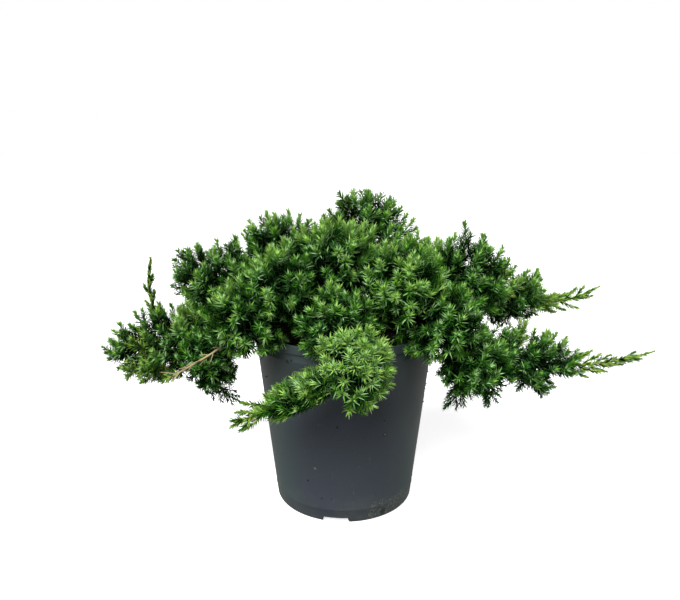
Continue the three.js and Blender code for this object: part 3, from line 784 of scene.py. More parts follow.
@dataclass
class PottingSoil:
    """The peat that fills the pot, with a crumbly top, in millimetres."""

    pot: NurseryPot
    top: float = 151.0
    dome: float = 3.0
    flat_share: float = 0.22
    clearance: float = 0.3
    rough_depth: float = 1.0
    relief: float = 1.1
    clods: Pair = (260.0, 1.0)
    swells: Pair = (70.0, 0.6)
    swell_limit: float = 0.7
    rings: int = 34
    turns: int = 120
    seed: int = 41
    crumbs: int = 900
    crumb_size: Pair = (0.5, 1.9)
    crumb_skew: float = 1.3
    crumb_lift: float = 0.25
    edge_gap: float = 3.0
    lumpiness: Pair = (0.6, 1.25)
    flatness: float = 0.7
    wall_crumbs: int = 34
    wall_size: Pair = (0.35, 1.1)
    wall_lift: float = 0.3
    wall_heights: Pair = (6, 150)
    right_heights: Pair = (84, 130)
    right_turn: Pair = (-0.1, 0.07)

    def surface_at(self, radius: Array) -> Array:
        """Height of the soil's top at a distance from the middle."""
        edge = self.pot.radius_at(self.top) - self.pot.wall
        return self.top - self.dome * ease(self.flat_share, 1.0, radius / edge)

    def build_fill(self) -> Piece:
        """Spins the fill and roughens its top.

        Returns:
            The soil.
        """
        low = self.pot.floor + self.clearance
        edge_height = self.top - self.dome
        inset = self.pot.wall + self.clearance
        inner = self.pot.radius_at(edge_height) - inset
        top_radii = inner * np.linspace(1, 0, self.rings)
        bm = spun([
            (0.0, low), (self.pot.radius_at(low) - inset, low),
            *((float(radius), float(self.surface_at(radius))) for radius in top_radii),
        ], self.turns)
        for vert in bm.verts:
            if vert.co.z > (edge_height - self.rough_depth) * MM:
                clod = self.clods[1] * noise.fractal(vert.co * self.clods[0], 0.8, 2.1, 4)
                swell = self.swells[1] * noise.noise(vert.co * self.swells[0])
                vert.co.z += min(clod + swell, self.swell_limit) * self.relief * MM
        return piece_from_bmesh("peat_fill", bm)

    def strewn(self, rng: np.random.Generator) -> tuple[Array, Array, Array, Array]:
        """Crumbs strewn over the peat's top.

        Args:
            rng: the random numbers.

        Returns:
            Turn, radius, height and size of each crumb.
        """
        limit = self.pot.radius_at(self.top) - self.pot.wall - self.edge_gap
        radius = limit * np.sqrt(rng.uniform(0.01, 1, self.crumbs))
        turn = rng.uniform(0, FULL_TURN, self.crumbs)
        size = rng.uniform(*self.crumb_size, self.crumbs) ** self.crumb_skew
        return turn, radius, self.surface_at(radius) + self.crumb_lift * size, size

    def stuck(self, rng: np.random.Generator) -> tuple[Array, Array, Array, Array]:
        """Crumbs stuck to the pot's wall, half of them at its right.

        Args:
            rng: the random numbers.

        Returns:
            Turn, radius, height and size of each crumb.
        """
        count = self.wall_crumbs
        right = np.arange(count) % 2 == 0
        spans = (self.right_heights, self.wall_heights)
        height = np.where(right, *(rng.uniform(*span, count) for span in spans))
        size = rng.uniform(*self.wall_size, count)
        turn = np.where(right, rng.normal(*self.right_turn, count), rng.uniform(0, FULL_TURN, count))
        return turn, self.pot.radius_at(height) + self.wall_lift * size, height, size

    def build_crumbs(self) -> Piece:
        """Makes the small lumps of peat on the top and on the pot's wall.

        Returns:
            The crumbs.
        """
        rng = np.random.default_rng(self.seed)
        bm = bmesh.new()
        bmesh.ops.create_icosphere(bm, subdivisions=1, radius=1.0)
        bm.verts.ensure_lookup_table()
        shape = np.array([vert.co[:] for vert in bm.verts])
        faces = np.array([[vert.index for vert in face.verts] for face in bm.faces])
        bm.free()
        both = zip(self.strewn(rng), self.stuck(rng))
        turn, radius, height, size = (np.concatenate(pair) for pair in both)
        middle = np.stack([radius * np.cos(turn), radius * np.sin(turn), height], axis=1)
        count = len(middle)
        lumps = shape[None] * rng.uniform(*self.lumpiness, (count, len(shape), 1)) * size[:, None, None]
        lumps[..., 2] *= self.flatness
        points = (lumps + middle[:, None]).reshape(-1, 3)
        triangles = (faces[None] + np.arange(count)[:, None, None] * len(shape)).reshape(-1, 3)
        return piece_from_arrays("peat_crumbs", points, triangles, np.zeros(len(triangles)), False)

    def dress(self, pieces: Sequence[Piece]) -> None:
        """Gives the soil its peat and its place in the part.

        Args:
            pieces: the fill and the crumbs.
        """
        for piece in pieces:
            piece.data.materials.append(PEAT.material())
            settle(piece, ("soil",))


# The main stem and the boughs


@dataclass(frozen=True)
class Leader:
    """A shoot that goes on past its mass: length, turn, rise, where it leaves the stem, and its sag."""

    length: float
    turn: float
    rise: float
    at: float | None = None
    sag: float = 0.0


class Tint(Enum):
    """How fresh a mass looks, with the tone that its sprays start from and its slot in the record."""

    DARK = (0.15, "foliage_dark")
    MID = (0.29, "foliage_mid")
    FRESH = (0.4, "foliage_fresh")
    PALE = (0.52, "foliage_fresh")

    @property
    def tone(self) -> float:
        """The tone that the mass's sprays start from."""
        return self.value[0]

    @property
    def slot(self) -> str:
        """The record's material slot."""
        return self.value[1]


# How a mass sits on its bough and keeps to its space: shares of its radii, and millimetres
ENTRY_SHARE = 0.8
END_SHARE = 0.62
STEM_GAP = 0.3
STEM_BEND = 0.4
SPACE_SHARE = 1.1
MEAN_RADIUS = 30.0
TIP_MARGIN = 6.0
LEAST_CLOSING = 1e-6
NEEDLE_SLACK = 0.5
SEED_STEP = 1000
BEND_BACK = 0.5
SIDE_ONWARD = 0.5
ROOT_POINTS = 4

# How the sprays of a mass spread evenly over it
HEIGHT_RANGE = 1.8
HEIGHT_START, HEIGHT_STEP, HEIGHT_STRIDE = 0.13, 0.37, 0.7548776662
TURN_STEP, TURN_STRIDE = 0.61, 0.569840291
SPRAY_REACH, SPRAY_REACH_MORE = 0.86, 0.1
LEAVE_BEFORE, LEAVE_FIRST, LEAVE_LAST = 0.28, 0.06, 0.96
RISE_ALONG, RISE_UP, RISE_HIGH, RISE_MORE = 0.4, 1.25, 0.6, 0.4
LEADER_AT = 0.9
TIP_NEEDLES = 5.0
LEADER_RUN_ON = 12.0 - TIP_NEEDLES


@dataclass(frozen=True)
class DeadTwig:
    """A bare tan twig with short stubs and a last side shoot: its line, shares of it, sizes and angles."""

    knots: tuple[Triple, ...]
    leaves_at: float = 0.5
    radii: Pair = (1.3, 0.8)
    stubs: int = 12
    stub_first: float = 0.46
    stub_gap: float = 0.042
    stub_turn: float = 2.3
    stub_length: Pair = (7, 15)
    stub_spread: Pair = (28, 48)
    stub_radii: Pair = (0.6, 0.25)
    end_at: float = 0.86
    end_turn: float = 2.0
    end_length: float = 16.0
    end_spread: float = 24.0
    end_radius: float = 0.55
    needles_from: Pair = (0.9, 0.2)
    tone: float = 0.7
    lime: float = 0.7


@dataclass
class Mass:
    """A mass of foliage with the named sizes of the part's source, and the space that follows from them."""

    name: str
    azimuth: float
    reach: float
    height: float
    radii: Triple
    pitch: float
    root: float
    tint: Tint = Tint.MID
    turned: float | None = None
    leaders: tuple[Leader, ...] = ()
    off_wall: float = 15.0
    lime: float = 0.0
    dry: float = 0.06
    dead_twig: DeadTwig | None = None
    index: int = field(init=False)
    axes: Array = field(init=False)
    middle: Array = field(init=False)
    normals: Array = field(init=False)
    limits: Array = field(init=False)
    bough: Path = field(init=False)
    stem: Path = field(init=False)

    @property
    def bearing(self) -> float:
        """The direction of the mass's stem round the pot's axis."""
        return self.azimuth if self.turned is None else self.turned

    @property
    def entry(self) -> Array:
        """Where the bough enters the mass."""
        return self.middle - ENTRY_SHARE * self.radii[0] * self.axes[0]

    @property
    def end(self) -> Array:
        """Where the mass's own stem ends."""
        return self.middle + END_SHARE * self.radii[0] * self.axes[0]

    def place(self, index: int) -> None:
        """Works out the mass's own axes and middle.

        Args:
            index: the mass's place in the row of masses, which seeds it.
        """
        self.index = index
        along = heading(self.bearing, self.pitch)
        across = unit(np.cross(UP, along))
        self.axes = np.stack([along, across, np.cross(along, across)])
        self.middle = heading(self.azimuth, 0) * self.reach + UP * self.height

    def extent(self, direction: Array) -> float:
        """How far the ellipsoid reaches from its middle in a direction."""
        return float(np.linalg.norm(self.axes @ direction * self.radii))

    def part_from(self, others: Sequence["Mass"]) -> None:
        """Finds the planes between this mass's space and its neighbours'.

        Args:
            others: all masses, this one too.
        """
        normals, limits = [], []
        for other in others:
            if other is self:
                continue
            apart = other.middle - self.middle
            normal = unit(apart)
            own = self.extent(normal)
            normals.append(normal)
            limits.append(float(np.linalg.norm(apart)) * own / (own + other.extent(normal)))
        self.normals, self.limits = np.array(normals), np.array(limits)

    def carry_on(self, bough: Path) -> None:
        """Bends the mass's own stem on from its bough.

        Args:
            bough: the bough's line, up to where it enters the mass.
        """
        direction = bough.tangents(1.0)[0]
        start = self.entry + direction * STEM_GAP
        run = float(np.linalg.norm(self.end - start))
        self.bough = bough
        self.stem = Path.bend(start, start + direction * run * STEM_BEND, self.end)

    def room(self, offset: Array, margin: float) -> float:
        """How much of an offset from the middle the neighbours leave.

        Args:
            offset: the offset.
            margin: how far its end stays inside the planes.

        Returns:
            The share of the offset that stays inside, 1 at most.
        """
        closing = self.normals @ offset
        ahead = closing > LEAST_CLOSING
        return float(min([1.0, *((self.limits[ahead] - margin) / closing[ahead])]))

    def share_of(self, points: Array) -> Array:
        """How far out each point lies, as a share of the ellipsoid's reach."""
        return np.linalg.norm((points - self.middle) @ self.axes.T / self.radii, axis=-1)

    def holds(self, points: Array, slack: float = 0.0) -> Array:
        """Whether each point lies in the mass's own space, or past it by no more than the slack."""
        inside = ((points - self.middle) @ self.normals.T < self.limits + slack).all(axis=-1)
        return (self.share_of(points) < SPACE_SHARE + slack / MEAN_RADIUS) & inside

    def spray(self, number: int) -> tuple[Path, float]:
        """The curve of a leading spray by its number, by the rule of the part's source.

        Args:
            number: the spray's place in the even, unordered sequence.

        Returns:
            The curve, and the share of its full reach that the neighbours leave it.
        """
        random = seeded_random(self.index * SEED_STEP + number + 1)
        level = (HEIGHT_START + self.index * HEIGHT_STEP + number * HEIGHT_STRIDE) % 1
        height = 1 - HEIGHT_RANGE * level
        turn = FULL_TURN * ((self.index * TURN_STEP + number * TURN_STRIDE) % 1)
        flat = math.sqrt(1 - height * height)
        on_ball = np.array([flat * math.cos(turn), flat * math.sin(turn), height])
        outward = (on_ball * self.radii) @ self.axes
        room = self.room(outward, TIP_MARGIN)
        outward = outward * min(SPRAY_REACH + SPRAY_REACH_MORE * random(), room)
        tip = self.middle + outward
        reach = (tip - self.entry) @ self.axes[0] / ((ENTRY_SHARE + END_SHARE) * self.radii[0])
        leave = self.stem.at(min(max(reach - LEAVE_BEFORE, LEAVE_FIRST), LEAVE_LAST))[0]
        lift = RISE_UP + RISE_HIGH * height + RISE_MORE * random()
        rise = unit(unit(outward) + RISE_ALONG * self.axes[0] + lift * UP)
        bend = tip - rise * BEND_BACK * float(np.linalg.norm(tip - leave))
        return Path.bend(leave, bend, tip), room

    def leader_path(self, leader: Leader) -> Path:
        """The curve of a shoot that goes on past the ellipsoid, short of its tip needles' reach.

        Args:
            leader: the shoot's sizes.

        Returns:
            The curve.
        """
        at, run_on = (LEADER_AT, LEADER_RUN_ON) if leader.at is None else (leader.at, -TIP_NEEDLES)
        start, tangent = self.stem.at(at)[0], self.stem.tangents(at)[0]
        aim = heading(self.bearing + leader.turn, leader.rise)
        first = unit(tangent * math.sqrt(math.cos(math.radians(leader.rise))) + aim)
        bend = start + first * leader.length / 2 - UP * leader.sag
        return Path.bend(start, bend, start + aim * (leader.length + run_on))


MASSES = (
    Mass(
        "right_low", -6, 158, 141, (60, 46, 31), -11, 20,
        leaders=(Leader(84, 3, 8, sag=10), Leader(44, 18, -56, 0.62)), lime=0.12,
    ),
    Mass(
        "right_hanging", -27, 119, 148, (36, 36, 31), -25, 7, Tint.DARK,
        leaders=(Leader(48, 192, -72, 0.5), Leader(40, 27, -68, 0.7)), dry=0.5,
    ),
    Mass(
        "right_high", 5, 146, 190, (52, 46, 34), -8, 33,
        leaders=(Leader(60, -4, 7, sag=12),), lime=0.12,
    ),
    Mass("right_shoulder", -8, 105, 210, (44, 46, 42), 14, 45, leaders=(Leader(58, 10, 78, 0.38),)),
    Mass("right_front", -40, 98, 184, (40, 42, 37), -5, 25),
    Mass("crown_top", 52, 28, 242, (43, 56, 44), 60, 52, leaders=(Leader(52, 128, 70, 0.5),)),
    Mass("crown_left", 167, 54, 226, (46, 50, 42), 35, 48),
    Mass("crown_front", -96, 36, 225, (44, 52, 42), 40, 47.5, Tint.FRESH),
    Mass(
        "left_shoulder", 184, 107, 203, (45, 52, 43), 14, 37,
        leaders=(Leader(24, -6, 52), Leader(50, 180, 86, 0.45)),
    ),
    Mass("left_low", 184, 164, 151, (52, 46, 36), -12, 18, leaders=(Leader(82, 0, 79, 0.47),), lime=0.26),
    Mass(
        "left_hanging", -162, 125, 143, (25, 30, 32), -25, 7, Tint.DARK,
        leaders=(Leader(50, 162, -58, 0.5),),
        dead_twig=DeadTwig(((-101, -64, 163), (-108, -77, 160), (-124, -80, 151), (-143, -79, 140))),
    ),
    Mass("left_front", -142, 98, 187, (38, 42, 34), -2, 26),
    Mass("centre_front_left", -131, 76, 208, (44, 46, 44), 10, 35, Tint.FRESH),
    Mass("centre_front_right", -52, 76, 210, (46, 48, 44), 10, 43, Tint.FRESH),
    Mass("front_low", -94, 84, 184, (38, 52, 36), -8, 30, off_wall=2.2),
    Mass("front_bough", -88, 119, 163, (36, 32, 33), -32, 22, Tint.PALE, off_wall=2.2),
    Mass(
        "front_left_spray", -106, 122, 143, (42, 16, 15), -26, 14, Tint.PALE, turned=188,
        leaders=(Leader(30, 0, -22),), off_wall=2.2, lime=0.12,
    ),
    Mass("back_left_low", 146, 150, 150, (54, 50, 38), -10, 21, leaders=(Leader(34, 8, 10),)),
    Mass("back_low", 97, 136, 150, (50, 50, 38), -10, 13, leaders=(Leader(34, -6, 14),)),
    Mass("back_right_low", 47, 148, 149, (54, 52, 38), -10, 16, leaders=(Leader(34, 5, 12),)),
    Mass("back_left", 132, 98, 205, (46, 52, 42), 12, 42),
    Mass("back_right", 42, 100, 200, (46, 52, 42), 10, 40),
    Mass("crown_back", 90, 86, 214, (46, 48, 43), 25, 46),
)


@dataclass
class WoodyFrame:
    """The main stem and the boughs, with flaking bark in relief, in millimetres."""

    pot: NurseryPot
    foot: float = 151.3
    height: float = 52.0
    lean: Pair = (7.0, 6.0)
    radius: float = 7.5
    tip_radius: float = 5.2
    flare: float = 4.5
    flare_height: float = 9.0
    root_ridges: int = 5
    bough_radius: float = 2.2
    bough_radius_per_reach: float = 0.006
    bough_tip_radius: float = 1.8
    rim_clearance: float = 7.0
    rim_pass: float = 4.0
    arch: float = 4.0
    bend_share: float = 0.45
    wide_share: float = 0.7
    crest_share: float = 0.52
    low_root: float = 8.0
    crest_rise: float = 0.25
    strips_round: float = 2.4
    strip_length: float = 26.0
    strip_relief: float = 0.2
    knot_size: float = 9.0
    knot_relief: float = 0.16
    cap_inset: float = 0.35
    ridge_depth: float = 0.3
    stem_sides: int = 40
    stem_rings: int = 60
    bough_sides: int = 12
    bough_rings: int = 12
    ring_length: float = 2.0

    def stem_path(self) -> Path:
        """The line up the middle of the main stem.

        Returns:
            The line.
        """
        start = np.array([0.0, 0.0, self.foot])
        bend = start + UP * self.height * self.bend_share
        return Path.bend(start, bend, start + np.array([*self.lean, self.height]))

    def bough_path(self, mass: Mass) -> Path:
        """The line of a bough from the main stem to its mass, over the rim where it has to.

        Args:
            mass: the mass that the bough carries.

        Returns:
            The bough's line.
        """
        start = self.stem_path().at(min(max(mass.root / self.height, 0), 1))[0]
        end = mass.entry
        reach = math.hypot(end[0], end[1])
        between = start + self.bend_share * (end - start)
        if reach <= self.pot.rim_radius * self.wide_share:
            return Path.through([start, between + UP * self.arch, end])
        outward = np.array([end[0] / reach, end[1] / reach, 0.0])
        higher = max(0, (mass.root - self.low_root) * self.crest_rise)
        crest = self.pot.height + self.rim_clearance + higher
        knots = [start, outward * self.pot.rim_radius * self.crest_share + UP * max(between[2], crest)]
        if reach > self.pot.rim_radius and end[2] < crest:
            knots.append(outward * (self.pot.rim_radius + self.rim_pass) + UP * crest)
        return Path.through([*knots, end])

    def bar(
        self, name: str, path: Path, radius_at: Callable[[float, float], float], sides: int, rings: int
    ) -> Piece:
        """Bends a closed round bar along a line and gives it bark relief and a map that runs along it.

        Args:
            name: the piece's name.
            path: the line of the bar's middle.
            radius_at: the radius from a share of the length and an angle.
            sides: corners round the bar.
            rings: steps along it.

        Returns:
            The bar.
        """
        bm = bmesh.new()
        bmesh.ops.create_cone(bm, cap_ends=True, segments=sides, radius1=1, radius2=1, depth=1)
        uprights = [edge for edge in bm.edges if abs(edge.verts[0].co.z - edge.verts[1].co.z) > 0.5]
        bmesh.ops.subdivide_edges(bm, edges=uprights, cuts=rings - 1, use_grid_fill=True)
        caps = [face for face in bm.faces if len(face.verts) > 4]
        bmesh.ops.inset_region(bm, faces=caps, thickness=self.cap_inset, depth=0.0)
        shares = np.linspace(0, 1, rings + 1)
        points, _, side, lift = path.frames(shares)
        layer = bm.loops.layers.uv.new("bark")
        for face in bm.faces:
            middle = face.calc_center_median()
            facing = math.atan2(middle.y, middle.x)
            for loop in face.loops:
                corner = math.atan2(loop.vert.co.y, loop.vert.co.x)
                turn = facing + (corner - facing + math.pi) % FULL_TURN - math.pi
                loop[layer].uv = (turn / FULL_TURN, (loop.vert.co.z + 0.5) * path.length * MM)
        for vert in bm.verts:
            share = vert.co.z + 0.5
            ring = round(share * rings)
            angle = math.atan2(vert.co.y, vert.co.x)
            wide = math.hypot(vert.co.x, vert.co.y)
            round_bar = self.strips_round * Vector((math.cos(angle), math.sin(angle)))
            strip = noise.noise(Vector((*round_bar, share * path.length / self.strip_length)))
            knot = noise.noise(Vector(points[ring] / self.knot_size))
            relief = 1 + self.strip_relief * strip + self.knot_relief * knot
            radius = wide * radius_at(share, angle) * relief
            place = points[ring] + radius * (math.cos(angle) * side[ring] + math.sin(angle) * lift[ring])
            vert.co = Vector(place * MM)
        bmesh.ops.recalc_face_normals(bm, faces=bm.faces)
        return piece_from_bmesh(name, bm)

    def build_stem(self) -> Piece:
        """The main stem, flared at the soil with root ridges.

        Returns:
            The stem.
        """
        def radius_at(share: float, angle: float) -> float:
            """The radius, which root ridges widen at the foot.

            Args:
                share: the share of the height.
                angle: the angle round the stem.

            Returns:
                The radius.
            """
            flare = math.exp(-share * self.height / self.flare_height) * self.flare
            ridge = 1 + self.ridge_depth * math.cos(self.root_ridges * angle)
            return self.radius + (self.tip_radius - self.radius) * share + flare * ridge

        return self.bar("bark_main_stem", self.stem_path(), radius_at, self.stem_sides, self.stem_rings)

    def build_bough(self, mass: Mass) -> Piece:
        """One tapering bough.

        Args:
            mass: the mass that it carries.

        Returns:
            The bough.
        """
        root = self.bough_radius + self.bough_radius_per_reach * mass.reach

        def radius_at(share: float, angle: float) -> float:
            """Radius at a share of the length."""
            return root + (self.bough_tip_radius - root) * share

        rings = max(self.bough_rings, round(mass.bough.length / self.ring_length))
        return self.bar(f"bark_bough_{mass.name}", mass.bough, radius_at, self.bough_sides, rings)

    def dress(self, piece: Piece, node: str) -> None:
        """Gives a stem or bough its bark and its place in the part."""
        piece.data.materials.append(BARK.material())
        settle(piece, (node,))


# The foliage


@dataclass(frozen=True)
class ShootKind:
    """How needles stand on a kind of shoot: lengths in millimetres, angles in degrees."""

    needle: float
    width: float
    whorl: float
    spread: float
    tip_spread: float
    tip_share: float
    twig: float
    freshness: float
    taper: float = 0.0


SPRAY = ShootKind(8.7, 1.1, 0.92, 54, 29, 0.68, 0.7, 0.4)
SIDE = ShootKind(8.4, 1.1, 0.92, 52, 29, 0.64, 0.55, 0.4)
INNER = ShootKind(8.0, 1.2, 3.2, 64, 50, 0.9, 0.8, 0.0)
SHORT = ShootKind(8.2, 1.1, 2.2, 54, 25, 0.5, 0.6, 0.2)
CLOTHING = ShootKind(8.0, 1.4, 1.4, 58, 60, 0.9, 3.0, 0.0)
LEAD = ShootKind(7.6, 1.3, 1.0, 38, 22, 0.8, 0.9, 0.1, taper=0.34)
THREAD = ShootKind(6.4, 1.6, 1.0, 32, 18, 0.8, 0.9, 0.0)
SPRIG = ShootKind(6.8, 1.25, 1.0, 40, 18, 0.65, 0.6, 0.14)
BUD = ShootKind(6.2, 1.6, 0.8, 36, 16, 0.5, 0.7, 0.1)
HANGING = ShootKind(6.6, 1.1, 1.5, 48, 22, 0.7, 0.6, 0.16)
PLUMP = ShootKind(8.6, 1.2, 0.95, 54, 36, 0.86, 0.7, 0.25)


@dataclass(frozen=True)
class Habit:
    """How a leader and its side shoots grow: their kinds, colours, number or gap, lengths and angles."""

    kind: ShootKind
    side_kind: ShootKind
    lime: float
    tone: float = 0.42
    count: int = 0
    gap: float = 6.0
    length: Pair = (20, 26)
    taper_from: float | None = 1.1
    bare: float = 0.12
    twig_tip: float = 0.4
    woody: float = 0.1
    side_first: float = 0.1
    side_range: float = 0.72
    side_turn: float = 0.5
    side_spread: Pair = (26, 40)
    side_lift: float = 0.15
    side_bare: float = 0.1
    side_lime: float = 0.9


THREADLIKE = Habit(THREAD, BUD, 0.4, count=7, length=(8, 11), taper_from=None)
UPRIGHT = Habit(PLUMP, PLUMP, 0.05, count=5)
TRAILING = Habit(LEAD, SPRIG, 0.55)
DROOPING = Habit(HANGING, HANGING, 0.0, tone=0.27, gap=5.0)
UPRIGHT_RISE, DROOPING_RISE, THREAD_LENGTH = 40, -40, 70


def habit_of(leader: Leader) -> Habit:
    """How a leader grows, by its rise and length.

    Args:
        leader: the leader.

    Returns:
        Its habit.
    """
    if leader.rise > UPRIGHT_RISE:
        return THREADLIKE if leader.length > THREAD_LENGTH else UPRIGHT
    return DROOPING if leader.rise < DROOPING_RISE else TRAILING


# A needle's corners are its foot, its left and right edges at the widest place, and its tip. Its two upper
# faces meet at the widest place, and its two lower ones in a keel from foot to tip.
NEEDLE_TRIANGLES = np.array([[0, 2, 1], [1, 2, 3], [0, 3, 2], [0, 1, 3]])
NEEDLE_UPPER = np.array([True, True, False, False])
NEEDLE_FOOT = np.array([True, False, False, False])
NEEDLE_WIDEST, NEEDLE_KEEL, NEEDLE_SINK = 0.34, 0.42, 0.3

# How the needles of a shoot stand: three in a whorl, closer and shorter towards its tip
WHORL = 3
CROWDING = 1.15
TIP_SHORTER = 0.22
TURN_SPREAD, LEAN_SPREAD = 0.32, 5.5
LENGTH_RANGE, CURL_RANGE = (0.86, 1.1), (-0.03, 0.07)

# How light a needle is: painted shade deep in the mass, darker low on its shoot for its age and as painted
# shade; and how often its upper faces show the pale band
YOUTH_RANGE = (0.15, 0.9)
OLD_SHADE, DEEP_SHADE, DEEPEST, TONE_SPREAD = 0.28, 0.7, 0.5, 0.09
BAND_TONE, BAND_CHANCE, BAND_LESS = 0.34, 0.38, 0.1
# The darker row that a lime needle's foot face takes, as painted shade
LIME_FOOT = 3
TWIG_TIP = 0.3


class Bed:
    """Gathers small closed shapes for one piece."""

    def __init__(self) -> None:
        """Starts empty."""
        self.points: list[Array] = []
        self.triangles: list[Array] = []
        self.slots: list[Array] = []
        self.count = 0

    def add(self, points: Array, triangles: Array, slots: Array) -> None:
        """Adds shapes.

        Args:
            points: their corners.
            triangles: three corner numbers in each row, from 0.
            slots: the material slot of each triangle.
        """
        self.points.append(points)
        self.triangles.append(triangles + self.count)
        self.slots.append(slots)
        self.count += len(points)

    def piece(self, name: str, finishes: Sequence[Finish], smooth: bool) -> Piece:
        """Makes the gathered shapes one object.

        Args:
            name: the object's name.
            finishes: the finish of each slot.
            smooth: whether the faces are shaded smooth.

        Returns:
            The object.
        """
        made = piece_from_arrays(
            name, np.vstack(self.points), np.vstack(self.triangles), np.concatenate(self.slots), smooth
        )
        for finish in finishes:
            made.data.materials.append(finish.material())
        return made


@dataclass
class Foliage:
    """The shoots and needles of one mass."""

    mass: Mass
    pot: NurseryPot
    soil_top: float
    seed: int = 700
    wall_gap: float = 2.2
    sprays: int = 50
    tries: int = 420
    spacing_share: float = 0.43
    least_room: float = 0.42
    least_spray: float = 12.0
    leafy: float = 36.0
    leafy_share: float = 0.85
    spray_twig: Pair = (0.95, 0.35)
    inner_first: float = 0.1
    # How much darker the inner needles are painted, as shade
    inner_shade: float = 0.25
    side_shoots: int = 4
    side_first: float = 0.02
    side_range: float = 0.6
    side_jitter: Pair = (-0.02, 0.05)
    side_length: Pair = (21, 27)
    side_shorter: float = 0.4
    side_turn: float = 0.2
    side_spread: Pair = (38, 52)
    side_bare: float = 0.14
    side_tone: float = 0.05
    short_gap: float = 3.4
    short_length: Pair = (15, 23)
    short_turn: float = 0.3
    short_spread: Pair = (48, 66)
    short_bare: float = 0.18
    # How much darker the short shoots are painted, as shade
    short_shade: float = 0.12
    short_tone: float = 0.04
    short_woody: float = 0.2
    # Sprays high in the mass and with room from their neighbours are painted lighter, as light falls on them
    painted_top_light: float = 0.1
    painted_open_light: float = 0.06
    spray_tone: float = 0.08
    tone_range: Pair = (0.02, 0.8)
    lime_share: float = 0.6
    lift: float = 1.0
    high_lift: float = 0.7
    least_lift: float = 0.3
    stem_twig: Pair = (1.8, 1.0)
    stem_woody: float = 0.5
    stem_shoots: Pair = (0.05, 0.95)
    # How much darker the needles on the mass's stem are painted, as shade
    stem_shade: float = 0.05
    bough_shoots: Pair = (0.25, 1.0)
    bough_clothed: float = 0.4
    # How much darker the needles on the bough are painted, as shade
    bough_shade: float = 0.1
    needles: Bed = field(default_factory=Bed)
    twigs: Bed = field(default_factory=Bed)
    rng: np.random.Generator = field(init=False)

    def __post_init__(self) -> None:
        """Seeds the mass's own random draws."""
        self.rng = np.random.default_rng(self.seed + self.mass.index)

    def is_clear(self, points: Array) -> Array:
        """Whether each point stays off the pot's wall and out of the soil.

        Args:
            points: the points, one row each.

        Returns:
            One answer for each point.
        """
        reach = np.hypot(points[:, 0], points[:, 1])
        wall = self.pot.radius_at(points[:, 2])
        outside = reach > wall + np.clip(self.pot.height - points[:, 2], self.wall_gap, self.mass.off_wall)
        inside = (reach < wall - self.pot.wall - 1) & (points[:, 2] > self.soil_top)
        return (points[:, 2] > self.pot.height + 1) | outside | inside

    def grow_needles(
        self, path: Path, kind: ShootKind, first: float, tone: float, lime: float = 0.0, free: bool = False,
        dry: float = 0.0,
    ) -> None:
        """Stands whorls of three needles along a shoot.

        Args:
            path: the shoot's line.
            kind: how its needles stand.
            first: the share of the line where they start.
            tone: how light the shoot is, from 0 to 1.
            lime: the share of its needles that are yellow green.
            free: whether the shoot may leave the mass's space, as a leader does.
            dry: the share of its needles that are dead and tan.
        """
        rng = self.rng
        whorls = max(3, round(path.length * (1 - first) / kind.whorl))
        walk = np.linspace(0, 1, whorls)
        shares = np.repeat(first + (1 - first) * (1 - (1 - walk) ** CROWDING), WHORL)
        walk = np.repeat(walk, WHORL)
        count = len(shares)
        foot, tangent, side, lift = path.frames(shares)
        number = np.arange(count)
        turn = (number % WHORL) * FULL_TURN / WHORL + (number // WHORL) * math.pi / WHORL
        turn = turn + rng.normal(0, TURN_SPREAD, count)
        outward = side * np.cos(turn)[:, None] + lift * np.sin(turn)[:, None]
        near_tip = ease(kind.tip_share, 1.0, walk)
        spread = kind.spread + (kind.tip_spread - kind.spread) * near_tip
        lean = np.radians(spread + rng.normal(0, LEAN_SPREAD, count))
        aim = tangent * np.cos(lean)[:, None] + outward * np.sin(lean)[:, None]
        length = kind.needle * (1 - TIP_SHORTER * near_tip - kind.taper * walk)
        length = length * rng.uniform(*LENGTH_RANGE, count)
        wide = np.cross(outward, tangent)
        inward = np.cross(wide, aim)
        widest = foot + aim * (length * NEEDLE_WIDEST)[:, None] + inward * kind.width * NEEDLE_KEEL
        half = kind.width / 2 * wide
        tip = foot + aim * length[:, None] + inward * (length * rng.uniform(*CURL_RANGE, count))[:, None]
        sunk = foot + outward * kind.twig * NEEDLE_SINK
        corners = np.stack([sunk, widest - half, widest + half, tip], axis=1)
        stays = self.is_clear(tip)
        if not free:
            stays &= self.mass.holds(tip, NEEDLE_SLACK)
        corners = corners[stays]
        if len(corners):
            slots = self.deal_slots(tip[stays], walk[stays], (tone, kind.freshness), lime, dry)
            triangles = NEEDLE_TRIANGLES[None] + (np.arange(len(corners)) * 4)[:, None, None]
            self.needles.add(corners.reshape(-1, 3), triangles.reshape(-1, 3), slots.reshape(-1))

    def deal_slots(self, tip: Array, walk: Array, tones: Pair, lime: float, dry: float) -> Array:
        """Deals each needle its greens, with painted shade: darker deep in the mass, darker low on its shoot
        for its age and as shade, and a darker foot face.

        Args:
            tip: the needles' tips.
            walk: how far up the shoot each one stands, from 0 to 1.
            tones: how light the shoot is, and how much lighter at its tip.
            lime: the share of needles that are yellow green.
            dry: the share of needles that are dead and tan.

        Returns:
            The slot of each face, with a row for each needle.
        """
        rng, count = self.rng, len(tip)
        youth = ease(*YOUTH_RANGE, walk)
        depth = np.clip(1 - self.mass.share_of(tip), 0, DEEPEST)
        value = tones[0] + tones[1] * youth - OLD_SHADE * (1 - walk) - DEEP_SHADE * depth
        value = value + rng.normal(0, TONE_SPREAD, count)
        row = np.clip((value * len(NEEDLE_ROW)).astype(int), 0, len(NEEDLE_ROW) - 1)
        row = np.where(rng.random(count) < lime, LIME, row)
        row = np.where(rng.random(count) < dry, DRY, row)
